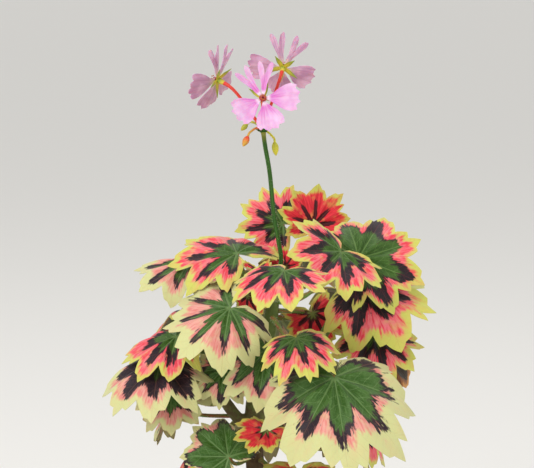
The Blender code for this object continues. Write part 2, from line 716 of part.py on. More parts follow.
def make_pedicel(flower):
    """The red stalk from the knob to the back of a flower's calyx."""
    axes = flower_axes(flower)
    back = PETAL_THICKNESS + CALYX_TUBE_LENGTH + 2 * SEAT_GAP
    end = flower_point(flower, axes, 0, 0, -back)
    out = (end - KNOB).normalized()
    start = KNOB + out * (KNOB_RADIUS + SEAT_GAP)
    span = (end - start).length
    handles = (
        start,
        start + out * span * PEDICEL_LEAVE_SHARE,
        end - axes[2] * span * PEDICEL_ARRIVE_SHARE,
        end,
    )
    points = bezier(handles, PEDICEL_STEPS)
    radii = [PEDICEL_RADIUS] * len(points)
    return link(tube("pedicel_" + flower.name, points, radii, THIN_ROUND), "red_stalk")


def ellipsoid(name, middle, way, half_length, radius):
    shape = bmesh.new()
    bmesh.ops.create_icosphere(shape, subdivisions=2, radius=1.0)
    bmesh.ops.scale(shape, verts=shape.verts, vec=Vector((radius, radius, half_length)) * MM)
    turn = way.to_track_quat("Z", "Y").to_matrix()
    bmesh.ops.rotate(shape, verts=shape.verts, matrix=turn)
    bmesh.ops.translate(shape, verts=shape.verts, vec=middle * MM)
    return mesh_object(name, shape)


def make_bud(number, bud):
    points = [Vector(p) for p in bud.points]
    out = (points[0] - KNOB).normalized()
    points = [KNOB + out * (KNOB_RADIUS + SEAT_GAP), *points]
    way = (points[-1] - points[-2]).normalized()
    middle = points[-1] + way * bud.half_length * BUD_ON_STALK
    body = ellipsoid(f"bud_{number}", middle, way, bud.half_length, bud.radius)
    stalk = tube("bud_stalk", points, [BUD_STALK_RADIUS] * len(points), THIN_ROUND)
    return link(fuse(body, [stalk]), "sepal")


def make_flower_stalk():
    tip, way = along_curve(BRANCHES["trunk"].points, 1.0)
    start = tip + way * SEAT_GAP
    bend = start + way * STALK_STRAIGHT
    points = [start, *smooth_points([bend, *STALK_POINTS, KNOB], STALK_STEPS)]
    stalk = tube("flower_stalk", points, [STALK_RADIUS] * len(points), THICK_ROUND)
    knob = ellipsoid("knob", KNOB, UP, KNOB_RADIUS, KNOB_RADIUS)
    return link(fuse(stalk, [knob]), "green_stalk")


for old in list(bpy.data.objects):
    bpy.data.objects.remove(old)
plant = bpy.data.collections.new("potted_geranium")
tools = bpy.data.collections.new("cutters")
for made in (plant, tools):
    bpy.context.scene.collection.children.link(made)
tools.hide_render = True

make_pot()
make_soil()
make_stem()
for place, one_leaf in enumerate((*FRONT_LEAVES, *BACK_LEAVES), 1):
    make_leaf(place, one_leaf)
make_flower_stalk()
for one_flower in FLOWERS:
    make_corolla(one_flower)
    make_calyx(one_flower)
    make_pedicel(one_flower)
for place, one_bud in enumerate(BUDS, 1):
    make_bud(place, one_bud)
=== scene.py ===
import math
import random
from collections import namedtuple

import bpy
import numpy as np
from mathutils import Matrix, Vector, noise


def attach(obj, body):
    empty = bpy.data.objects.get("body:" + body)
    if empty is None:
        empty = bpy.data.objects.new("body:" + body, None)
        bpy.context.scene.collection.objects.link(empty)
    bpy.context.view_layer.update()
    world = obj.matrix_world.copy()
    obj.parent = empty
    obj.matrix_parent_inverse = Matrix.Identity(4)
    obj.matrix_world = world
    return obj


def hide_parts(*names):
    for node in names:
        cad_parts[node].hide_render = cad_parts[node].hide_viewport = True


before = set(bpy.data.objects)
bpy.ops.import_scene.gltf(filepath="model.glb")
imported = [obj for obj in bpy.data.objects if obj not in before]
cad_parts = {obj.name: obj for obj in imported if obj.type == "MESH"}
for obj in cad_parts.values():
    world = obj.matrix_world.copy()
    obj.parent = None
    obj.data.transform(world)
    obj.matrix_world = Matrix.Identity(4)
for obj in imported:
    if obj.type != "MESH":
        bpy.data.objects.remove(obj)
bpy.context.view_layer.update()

# Camera. It looks a little down on the plant from its fullest side, with the pot below the
# picture's edge. The focal length and the picture's width are in pixels of the picture.
PICTURE_WIDTH_PX = 534
FOCAL_PX = 1900
SENSOR_WIDTH_MM = 36.0
NEAR_CLIP = 0.01
FAR_CLIP = 100.0
CAMERA_AIM = Vector((0.0, 0.0, 0.248))
CAMERA_DISTANCE = 0.95
CAMERA_ELEVATION = math.radians(8)
camera_data = bpy.data.cameras.new("camera")
camera_data.sensor_width = SENSOR_WIDTH_MM
camera_data.lens = SENSOR_WIDTH_MM * FOCAL_PX / PICTURE_WIDTH_PX
camera_data.clip_start = NEAR_CLIP
camera_data.clip_end = FAR_CLIP
camera = bpy.data.objects.new("camera", camera_data)
bpy.context.scene.collection.objects.link(camera)
camera_back = Vector((0.0, -math.cos(CAMERA_ELEVATION), math.sin(CAMERA_ELEVATION)))
camera.location = CAMERA_AIM + camera_back * CAMERA_DISTANCE
camera.rotation_euler = (-camera_back).to_track_quat("-Z", "Y").to_euler()
bpy.context.scene.camera = camera


# Floor and light. A plain pale floor runs out of sight. A wide soft lamp stands high on the left
# in front, a weaker one on the right, and pale light comes from all round.
def linear(code):
    """A colour as a shader takes it, from its sRGB hex code."""
    shares = [int(code[k:k + 2], 16) / 255 for k in (0, 2, 4)]
    return (*[s / 12.92 if s <= 0.04045 else ((s + 0.055) / 1.055) ** 2.4 for s in shares], 1.0)


def new_material(name, **constants):
    """A material, its nodes and its shader, with these constants on the shader's own sockets."""
    made = bpy.data.materials.new(name)
    made.use_nodes = True
    shader = made.node_tree.nodes["Principled BSDF"]
    for socket, value in constants.items():
        shader.inputs[socket.replace("_", " ")].default_value = value
    return made, made.node_tree, shader


# Matt paint: pale and without a shine, so that it shows nothing but soft shadows
FLOOR_HALF_SIZE = 30.0
floor_paint = new_material("matt_floor_paint", Base_Color=linear("eceae6"), Roughness=0.9)[0]
corner_signs = ((-1, -1), (1, -1), (1, 1), (-1, 1))
floor_corners = [(x * FLOOR_HALF_SIZE, y * FLOOR_HALF_SIZE, 0.0) for x, y in corner_signs]
floor_mesh = bpy.data.meshes.new("floor")
floor_mesh.from_pydata(floor_corners, [], [(0, 1, 2, 3)])
floor_mesh.materials.append(floor_paint)
floor = bpy.data.objects.new("floor", floor_mesh)
bpy.context.scene.collection.objects.link(floor)

ROOM_LIGHT = 0.85
world = bpy.data.worlds.new("pale_room")
world.use_nodes = True
background = world.node_tree.nodes["Background"]
background.inputs["Color"].default_value = linear("f1f1f0")
background.inputs["Strength"].default_value = ROOM_LIGHT
bpy.context.scene.world = world
Lamp = namedtuple("Lamp", "name place watts size")
LAMPS = (
    Lamp("key_lamp", (-0.75, -1.05, 1.15), 11.5, 0.7),
    Lamp("fill_lamp", (1.1, -0.9, 0.55), 2.5, 0.9),
    Lamp("top_lamp", (0.1, 0.5, 1.4), 3.0, 0.8),
)
for lamp in LAMPS:
    lamp_data = bpy.data.lights.new(lamp.name, "AREA")
    lamp_data.energy = lamp.watts
    lamp_data.size = lamp.size
    lamp_object = bpy.data.objects.new(lamp.name, lamp_data)
    bpy.context.scene.collection.objects.link(lamp_object)
    lamp_object.location = lamp.place
    towards = CAMERA_AIM - lamp_object.location
    lamp_object.rotation_euler = towards.to_track_quat("-Z", "Y").to_euler()
bpy.context.scene.view_settings.view_transform = "Standard"


# Clay pot. It is pressed from red clay on a wheel, with a collar round its mouth, and fired
# without a glaze, so it is matt and a little grainy, with pale bloom where water has dried.
MM = 0.001
POT_HEIGHT = 105.0
POT_FOOT_RADIUS = 42.0
POT_RIM_RADIUS = 62.0
POT_COLLAR_HEIGHT = 21.0
POT_COLLAR_STEP = 3.0
POT_WALL = 5.0
POT_FLOOR = 8.0
POT_EDGE = 1.6
POT_FOOT_ROUNDING = 0.2
POT_SIDES = 160
POT_SHARP_EDGE = 40
TURNING_MARKS = 11
TURNING_MARK_DEPTH = 0.12
TURNING_MARK_RINGS = 23
DRAIN_HOLES = 4
DRAIN_HOLE_RADIUS = 4.5
DRAIN_HOLE_SIDES = 32
DRAIN_CIRCLE_RADIUS = 22.0


def per_mm(size):
    """The scale of a pattern with features of this size, in mm, over places in metres."""
    return 1 / (size * MM)


def link_object(name, mesh):
    made = bpy.data.objects.new(name, mesh)
    bpy.context.scene.collection.objects.link(made)
    return made


def applied(piece):
    """The piece with its modifiers made part of its mesh."""
    bpy.context.view_layer.update()
    graph = bpy.context.evaluated_depsgraph_get()
    mesh = bpy.data.meshes.new_from_object(piece.evaluated_get(graph))
    piece.modifiers.clear()
    piece.data = mesh
    return piece


def turned(name, profile, sides):
    """A profile of (radius, height) pairs in mm, turned once round the upright axis."""
    mesh = bpy.data.meshes.new(name)
    points = [(radius * MM, 0.0, height * MM) for radius, height in profile]
    mesh.from_pydata(points, [(k, k + 1) for k in range(len(points) - 1)], [])
    piece = link_object(name, mesh)
    screw = piece.modifiers.new("turn", "SCREW")
    screw.steps = screw.render_steps = sides
    screw.use_merge_vertices = True
    screw.merge_threshold = 0.00001
    return applied(piece)


def pot_inner_radius(height):
    outer_slope = (POT_RIM_RADIUS - POT_COLLAR_STEP - POT_FOOT_RADIUS) / POT_HEIGHT
    return POT_FOOT_RADIUS + outer_slope * height - POT_WALL


def rim_corner(radius, inward, steps=5):
    """Points round an edge of the rim, from its top to its side."""
    points = []
    for k in range(steps + 1):
        turn = math.pi / 2 * k / steps
        points.append((
            radius + inward * POT_EDGE * (1 - math.sin(turn)),
            POT_HEIGHT - POT_EDGE * (1 - math.cos(turn)),
        ))
    return points


def pot_profile():
    collar_foot = POT_HEIGHT - POT_COLLAR_HEIGHT
    inner_rim = pot_inner_radius(POT_HEIGHT)
    body_top = pot_inner_radius(collar_foot) + POT_WALL
    body = []
    for k in range(TURNING_MARK_RINGS + 1):
        share = k / TURNING_MARK_RINGS
        height = collar_foot - POT_EDGE + (POT_EDGE * 2 - collar_foot) * share
        radius = body_top + (POT_FOOT_RADIUS - body_top) * share
        mark = TURNING_MARK_DEPTH * math.sin(TURNING_MARKS * share * math.tau)
        body.append((radius + mark, height))
    return [
        (0, POT_FLOOR),
        (pot_inner_radius(POT_FLOOR), POT_FLOOR),
        (inner_rim, POT_HEIGHT - POT_EDGE),
        *reversed(rim_corner(inner_rim, 1)),
        *rim_corner(POT_RIM_RADIUS, -1),
        (POT_RIM_RADIUS - POT_COLLAR_STEP / 2, collar_foot + POT_EDGE),
        (POT_RIM_RADIUS - POT_COLLAR_STEP, collar_foot),
        *body,
        (POT_FOOT_RADIUS - POT_FOOT_ROUNDING, POT_EDGE / 2),
        (POT_FOOT_RADIUS - POT_EDGE, 0),
        (0, 0),
    ]


pot = turned("clay_pot", pot_profile(), POT_SIDES)
drain_reach = DRAIN_CIRCLE_RADIUS * MM
for number in range(DRAIN_HOLES):
    turn = math.tau * (number + 0.5) / DRAIN_HOLES
    bpy.ops.mesh.primitive_cylinder_add(
        vertices=DRAIN_HOLE_SIDES, radius=DRAIN_HOLE_RADIUS * MM, depth=3 * POT_FLOOR * MM,
        location=(drain_reach * math.cos(turn), drain_reach * math.sin(turn), 0),
    )
    drain = bpy.context.object
    hole = pot.modifiers.new("drain", "BOOLEAN")
    hole.operation = "DIFFERENCE"
    hole.object = drain
    applied(pot)
    bpy.data.objects.remove(drain)
pot.data.shade_smooth()
pot.data.set_sharp_from_angle(angle=math.radians(POT_SHARP_EDGE))

# The setting that a second word in a node's kind stands for, as in Math ADD
MODES = {
    "Math": "operation",
    "VectorMath": "operation",
    "Mix": "data_type",
    "MapRange": "interpolation_type",
    "TexVoronoi": "feature",
}


def add(tree, kind, *inputs, **settings):
    """Adds a node, fills its inputs in order with values or links and gives its first output."""
    kind, _, mode = kind.partition(" ")
    made = tree.nodes.new("ShaderNode" + kind)
    if mode:
        setattr(made, MODES[kind], mode)
    for name, value in settings.items():
        setattr(made, name, value)
    sockets = [socket for socket in made.inputs if socket.enabled]
    for socket, value in zip(sockets, inputs):
        if isinstance(value, bpy.types.NodeSocket):
            tree.links.new(value, socket)
        elif value is not None:
            socket.default_value = value
    return next(socket for socket in made.outputs if socket.enabled)


def surface(tree, shader, colour, strength, depth, relief):
    """Gives the shader its colour, and its bump from a relief of this depth in mm."""
    tree.links.new(colour, shader.inputs["Base Color"])
    bump = add(tree, "Bump", strength, depth * MM, None, relief)
    tree.links.new(bump, shader.inputs["Normal"])


# Unglazed terracotta: thirsty and matt, so the eye sees no shine but its sandy grain, fine turned
# lines, a foot darkened by damp and clouds of chalky bloom. Patterns are sized in mm.
CLAY_GRAIN = 0.5
CLAY_BLOOM = 22.0
TURNED_LINE = 1.4
DAMP_HEIGHT = 50.0
terracotta, tree, shader = new_material("fired_terracotta", Roughness=0.86, Specular_IOR_Level=0.3)
place = add(tree, "TexCoord").node.outputs["Object"]
height = add(tree, "SeparateXYZ", place).node.outputs["Z"]
cloud = add(tree, "TexNoise", place, per_mm(CLAY_BLOOM), 5.0, 0.62)
grain = add(tree, "TexNoise", place, per_mm(CLAY_GRAIN), 3.0, 0.6)
clay = add(tree, "Mix RGBA", grain, linear("9c5233"), linear("c4764d"))
low = add(tree, "MapRange", height, 0.0, DAMP_HEIGHT * MM, 0.55, 0.15)
damp = add(tree, "Math MULTIPLY", low, add(tree, "MapRange", cloud, 0.35, 0.6, 1.4, 0.3))
clay = add(tree, "Mix RGBA", damp, clay, linear("7a3f28"))
bloom = add(tree, "MapRange SMOOTHSTEP", cloud, 0.44, 0.8, 0.0, 0.5)
clay = add(tree, "Mix RGBA", bloom, clay, linear("d8b8a2"))
lines = add(tree, "Math SINE", add(tree, "Math MULTIPLY", height, per_mm(TURNED_LINE) * math.tau))
surface(tree, shader, clay, 0.5, 0.25, add(tree, "Math MULTIPLY_ADD", lines, 0.25, grain))
pot.data.materials.clear()
pot.data.materials.append(terracotta)
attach(pot, "root")
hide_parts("pot")


# Potting soil. Dark peat with crumbs of bark and white perlite fills the pot to a little below
# its rim. It was pressed in by hand round the stem and has sunk unevenly.
SOIL_TOP = 92.0
SOIL_MOUND = 3.0
SOIL_LUMP = 0.9
SOIL_OUTER_RING = 48.0
SOIL_GAP = 0.35
SOIL_EDGE_FADE = 8.0
SOIL_RINGS = 44
SOIL_SIDES = 120
LUMP_WAVES = (0.31, 0.27, 0.17)
LUMP_START = 1.3
SOIL_NOISES = ((0.7, 0.35, 1.0), (0.45, 0.9, 5.0))
CRUMBS = 520
CRUMB_SIZES = (0.5, 1.5)
CRUMB_SHAPE = Vector((1.0, 0.8, 0.6))
CRUMB_UNEVENNESS = 0.35
CRUMB_RISE = 0.2
CLEAR_OF_WALL = 2.0
CLEAR_OF_STEM = 7.0
PERLITE_SHARE = 0.12


def soil_height(x, y):
    """The top of the soil, in mm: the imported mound, made uneven by lumps and by two noises, each
    with its height in mm, its fineness per mm and a layer of its own."""
    reach = math.hypot(x, y)
    edge = pot_inner_radius(SOIL_TOP) - SOIL_GAP
    mound = SOIL_MOUND * (1 - min(1.0, reach / SOIL_OUTER_RING) ** 2)
    fade = min(1.0, max(0.0, (edge - reach) / SOIL_EDGE_FADE))
    a, b, c = LUMP_WAVES
    lump = SOIL_LUMP * (math.sin(a * x + LUMP_START) * math.cos(b * y) + math.sin(c * (x + y)))
    crumb = sum(
        rise * noise.noise((fine * x, fine * y, layer)) for rise, fine, layer in SOIL_NOISES
    )
    return SOIL_TOP + mound + lump * fade + crumb * min(1.0, fade * 3)


top_radius = pot_inner_radius(SOIL_TOP) - SOIL_GAP
soil_foot = POT_FLOOR + SOIL_GAP
soil_profile = [(top_radius * k / SOIL_RINGS, SOIL_TOP) for k in range(SOIL_RINGS + 1)]
soil_profile += [(pot_inner_radius(soil_foot) - SOIL_GAP, soil_foot), (0, soil_foot)]
soil = turned("potting_soil", soil_profile, SOIL_SIDES)
for vertex in soil.data.vertices:
    x, y, z = vertex.co / MM
    if z > SOIL_TOP - 1:
        vertex.co.z = soil_height(x, y) * MM

bpy.ops.mesh.primitive_ico_sphere_add(subdivisions=1, radius=1.0)
ball = bpy.context.object
ball_points = [v.co.copy() for v in ball.data.vertices]
ball_faces = [tuple(f.vertices) for f in ball.data.polygons]
bpy.data.objects.remove(ball)
draw = random.Random(11)
crumb_points, crumb_faces, crumb_kinds = [], [], []
for number in range(CRUMBS):
    reach = (top_radius - CLEAR_OF_WALL) * math.sqrt(draw.random())
    turn = draw.uniform(0, math.tau)
    size = draw.uniform(*CRUMB_SIZES)
    if reach < CLEAR_OF_STEM:
        continue
    x, y = reach * math.cos(turn), reach * math.sin(turn)
    middle = Vector((x, y, soil_height(x, y) + size * CRUMB_RISE))
    roll = draw.uniform(0, 3)
    axis = Vector((draw.random(), draw.random(), draw.random() + 0.1))
    tilt = Matrix.Rotation(roll, 3, axis)
    first = len(crumb_points)
    kind = 1 if draw.random() < PERLITE_SHARE else 0
    for point in ball_points:
        swell = 1 + CRUMB_UNEVENNESS * noise.noise(point * 1.7 + middle)
        crumb_points.append((middle + tilt @ (point * size * swell * CRUMB_SHAPE)) * MM)
    crumb_faces += [tuple(first + k for k in face) for face in ball_faces]
    crumb_kinds += [kind] * len(ball_faces)
crumb_mesh = bpy.data.meshes.new("soil_crumbs")
crumb_mesh.from_pydata(crumb_points, [], crumb_faces)
crumbs = link_object("soil_crumbs", crumb_mesh)

# Damp peat: it swallows the light, so the eye sees near-black brown with rough paler fibres
PEAT_GRAIN = 1.2
peat, tree, shader = new_material("damp_peat", Roughness=0.95, Specular_IOR_Level=0.2)
place = add(tree, "TexCoord").node.outputs["Object"]
grain = add(tree, "TexNoise", place, per_mm(PEAT_GRAIN), 6.0, 0.7)
fibres = add(tree, "MapRange", grain, 0.3, 0.7)
colour = add(tree, "Mix RGBA", fibres, linear("1c1410"), linear("4a3526"))
surface(tree, shader, colour, 1.0, 0.6, grain)

# Perlite: puffed volcanic glass, so the eye sees dull white specks with a foamy skin
PERLITE_GRAIN = 0.4
perlite, tree, shader = new_material("puffed_perlite", Roughness=0.9)
place = add(tree, "TexCoord").node.outputs["Object"]
grain = add(tree, "TexNoise", place, per_mm(PERLITE_GRAIN), 3.0)
colour = add(tree, "Mix RGBA", grain, linear("b9b2a4"), linear("efece4"))
surface(tree, shader, colour, 0.6, 0.15, grain)
soil.data.materials.clear()
soil.data.materials.append(peat)
for finish in (peat, perlite):
    crumb_mesh.materials.append(finish)
crumb_mesh.polygons.foreach_set("material_index", crumb_kinds)
soil.data.shade_smooth()
for piece in (soil, crumbs):
    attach(piece, "root")
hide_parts("soil")


# Woody stem. The old trunk is brown and corky below, ringed where leaves have dropped, and turns
# green towards its growing tips. Its branches leave it in smooth forks.
STEM_DEPTH = 36.0
Branch = namedtuple("Branch", "points radii")
BRANCHES = {
    "trunk": Branch(
        ((0, 0, SOIL_TOP - STEM_DEPTH), (-1, 1, 104), (-6, 1, 130), (-7, 0, 155),
         (-3, -2, 182), (2, -4, 206), (4, -5, 226)),
        (5.4, 5.2, 4.8, 4.4, 4.0, 3.4, 2.6),
    ),
    "left": Branch(
        ((-7, 0, 148), (-16, -3, 156), (-25, -2, 170), (-31, -1, 186), (-34, -2, 198)),
        (3.0, 3.0, 2.8, 2.4, 2.0),
    ),
    "right": Branch(
        ((-5, -1, 164), (6, -2, 171), (20, -3, 184), (30, -2, 200), (34, -2, 212)),
        (3.0, 3.0, 2.8, 2.4, 2.0),
    ),
    "back": Branch(
        ((-6, 1, 138), (-5, 12, 148), (-2, 24, 168), (2, 30, 196), (4, 31, 212)),
        (3.2, 3.2, 3.0, 2.6, 2.2),
    ),
    "front": Branch(
        ((-6, 0, 132), (-5, -8, 139), (-2, -14, 152), (0, -16, 168)),
        (2.8, 2.8, 2.6, 2.2),
    ),
}
STEM_STEPS = 14
STEM_SIDES = 20
STRAIGHT_ABOVE_SOIL = 6.0
STRAIGHT_FADE = 8.0
LEAF_SCAR_SPACING = 8.0
LEAF_SCAR_RISE = 0.05
BRANCH_END = 0.5
FORK_SMOOTHING = 0.8
PIECE_SHARP_EDGE = 58


def along_curve(points, share):
    """The point at this share of a smooth curve through the points, and the curve's direction."""
    last = len(points) - 1
    place = min(max(share, 0.0), 1.0) * last
    first = min(int(place), last - 1)
    t = place - first
    p = [Vector(points[min(max(first + k, 0), last)]) for k in (-1, 0, 1, 2)]
    a = 2 * p[1]
    b = p[2] - p[0]
    c = 2 * p[0] - 5 * p[1] + 4 * p[2] - p[3]
    d = 3 * p[1] - p[0] - 3 * p[2] + p[3]
    where = (a + b * t + c * t * t + d * t**3) / 2
    way = (b + 2 * c * t + 3 * d * t * t) / 2
    return where, way.normalized()


def mixed(values, share):
    """The value at this share along a row of values."""
    place = min(max(share, 0.0), 1.0) * (len(values) - 1)
    first = min(int(place), len(values) - 2)
    return values[first] + (values[first + 1] - values[first]) * (place - first)


# One part of a piece: its points in mm, its faces, a material for each face and, by name, the
# marks that the material reads, as one vector for each point
Part = namedtuple("Part", "points faces finishes marks")


def stalk_part(points, radii, sides, finish, ridges=0, ridge_depth=0.0, seed=0):
    """A round stalk through the points, closed at both ends. Its marks are the turn round it, the
    distance along it in mm and the share of its length."""
    points = [Vector(p) for p in points]
    ways = [(b - a).normalized() for a, b in zip(points, points[1:])]
    ways.append(ways[-1])
    across = ways[0].orthogonal().normalized()
    places, marks, faces = [points[0]], [(0.0, 0.0, 0.0)], []
    length = 0.0
    total = sum((b - a).length for a, b in zip(points, points[1:]))
    for k, (point, way, radius) in enumerate(zip(points, ways, radii)):
        across = (across - way * across.dot(way)).normalized()
        other = way.cross(across)
        if k:
            length += (point - points[k - 1]).length
        for side in range(sides):
            turn = math.tau * side / sides
            out = across * math.cos(turn) + other * math.sin(turn)
            places.append(point + out * radius * (1 + ridge_depth * math.cos(ridges * turn)))
            marks.append((math.cos(turn) * 3 + seed, length, length / total))
    places.append(points[-1])
    marks.append((0.0, length, 1.0))
    last = len(places) - 1
    rings = len(points)
    for side in range(sides):
        after = (side + 1) % sides
        faces.append((0, 1 + after, 1 + side))
        for k in range(rings - 1):
            a, b = 1 + k * sides, 1 + (k + 1) * sides
            faces.append((a + side, a + after, b + after, b + side))
        foot = 1 + (rings - 1) * sides
        faces.append((last, foot + side, foot + after))
    return Part(places, faces, [finish] * len(faces), {"ray": marks})


def make_piece(name, parts, stands_for=None):
    """One object from its parts, riding on the plant."""
    points, faces, indices, finishes = [], [], [], []
    names = sorted({mark for part in parts for mark in part.marks})
    marks = {mark: [] for mark in names}
    for part in parts:
        first = len(points)
        points += [Vector(p) * MM for p in part.points]
        faces += [tuple(first + k for k in face) for face in part.faces]
        finishes += [f for f in dict.fromkeys(part.finishes) if f not in finishes]
        indices += [finishes.index(f) for f in part.finishes]
        for mark in names:
            marks[mark] += list(part.marks.get(mark, [(0.0, 0.0, 0.0)] * len(part.points)))
    mesh = bpy.data.meshes.new(name)
    mesh.from_pydata(points, [], faces)
    for finish in finishes:
        mesh.materials.append(finish)
    mesh.polygons.foreach_set("material_index", indices)
    for mark, values in marks.items():
        layer = mesh.attributes.new(mark, "FLOAT_VECTOR", "POINT")
        layer.data.foreach_set("vector", np.array(values, np.float32).ravel())
    mesh.shade_smooth()
    mesh.set_sharp_from_angle(angle=math.radians(PIECE_SHARP_EDGE))
    piece = link_object(name, mesh)
    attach(piece, "root")
    if stands_for:
        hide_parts(stands_for)
    return piece


# Corky bark: dry and cracked lengthways, so the eye sees dull brown patches below, and smoother
# green skin where the stem is still young
CORK_PATCH = 3.0
BARK_CRACK = 1.2
bark, tree, shader = new_material("corky_bark", Roughness=0.75, Specular_IOR_Level=0.35)
place = add(tree, "TexCoord").node.outputs["Object"]
height = add(tree, "SeparateXYZ", place).node.outputs["Z"]
cork = add(tree, "TexNoise", place, per_mm(CORK_PATCH), 6.0, 0.7)
upright = add(tree, "VectorMath MULTIPLY", place, (1.0, 1.0, 0.25))
cracks = add(tree, "TexNoise", upright, per_mm(BARK_CRACK), 4.0, 0.65)
brown = add(tree, "Mix RGBA", cork, linear("3a2b1c"), linear("8a7250"))
green = add(tree, "Mix RGBA", cork, linear("3f5a26"), linear("7d8c48"))
age = add(tree, "Math ADD", height, add(tree, "MapRange", cork, 0.3, 0.7, -0.03, 0.03))
young = add(tree, "MapRange SMOOTHSTEP", age, 0.13, 0.2)
surface(tree, shader, add(tree, "Mix RGBA", young, brown, green), 0.8, 0.5, cracks)
stem_parts = []
for name, branch in BRANCHES.items():
    steps = STEM_STEPS * (len(branch.points) - 1)
    places = [along_curve(branch.points, k / steps)[0] for k in range(steps + 1)]
    if name == "trunk":
        for k, place in enumerate(places):
            fade = 1 - (place.z - SOIL_TOP - STRAIGHT_ABOVE_SOIL) / STRAIGHT_FADE
            places[k] = place.lerp(Vector((0, 0, place.z)), min(1.0, max(0.0, fade)))
    radii = []
    for k, place in enumerate(places):
        ring = math.cos(math.tau * place.z / LEAF_SCAR_SPACING)
        radii.append(mixed(branch.radii, k / steps) * (1 + LEAF_SCAR_RISE * max(0.0, ring) ** 6))
    radii[-1] *= BRANCH_END
    stem_parts.append(stalk_part(places, radii, STEM_SIDES, bark))
stem = make_piece("woody_stem", stem_parts, "stem")
smooth = stem.modifiers.new("forks", "REMESH")
smooth.mode = "VOXEL"
smooth.voxel_size = FORK_SMOOTHING * MM
smooth.use_smooth_shade = True
applied(stem)


# Leaves. Each is a thin, downy blade cut into seven toothed lobes, on a round stalk. It opens
# red, and full grown it is green in the middle with a dark zone, coral beyond and a yellow
# margin, all flamed along the veins. Old leaves pale to cream and salmon, and then wither.
#
# The right half of a blade's outline, from the middle lobe's tip round to the notch at the stalk,
# as degrees off the middle vein and shares of the leaf's size. Each lobe has its tip, a side tooth
# and the cut to the next lobe.
HALF_OUTLINE = (
    (0, 1.00), (6, 0.86), (11, 0.90), (19, 0.72),
    (37, 0.98), (44, 0.83), (49, 0.86), (57, 0.66),
    (75, 0.92), (83, 0.76), (88, 0.78), (100, 0.58),
    (119, 0.76), (160, 0.24),
)
LOBE_TIPS = (1, 5, 9, 13, 17, 21, 25)
LOBE_CUTS = (2, 6, 10, 16, 20, 24)
BARE_EDGES = (0, 1, 5, 9, 16, 20, 24, 25)
EDGE_BULGE = 0.035
OUTLINE_JITTER = 0.05
ANGLE_JITTER = 1.6
PLEAT = 0.035
PLEAT_REACH = 0.45
PLEAT_FADE = (100, 160)
TOOTH_PLACE = (0.52, 0.62)
TOOTH_RISE = (0.10, 0.17)
TOOTH_WIDTH = 0.12
NOTCH_RISE = (0.0, 0.04)
TIP_CURL = 0.07
TIP_CURL_FROM = 0.6
CURL_VARIES = (-0.2, 1.0)
RIM_RIPPLE = 0.010
RIM_RIPPLES = 11
OUTLINE_STEP = 1.6
LEAST_TURN = 0.002
BLADE_RINGS = 16
RINGS_TOWARDS_RIM = 1.3
BLADE_THICKNESS = 0.45
RIM_THICKNESS = 0.25

# A leaf's rim waves by this share of its size, unless its row ends with a share of its own
RIM_WAVE = 0.04

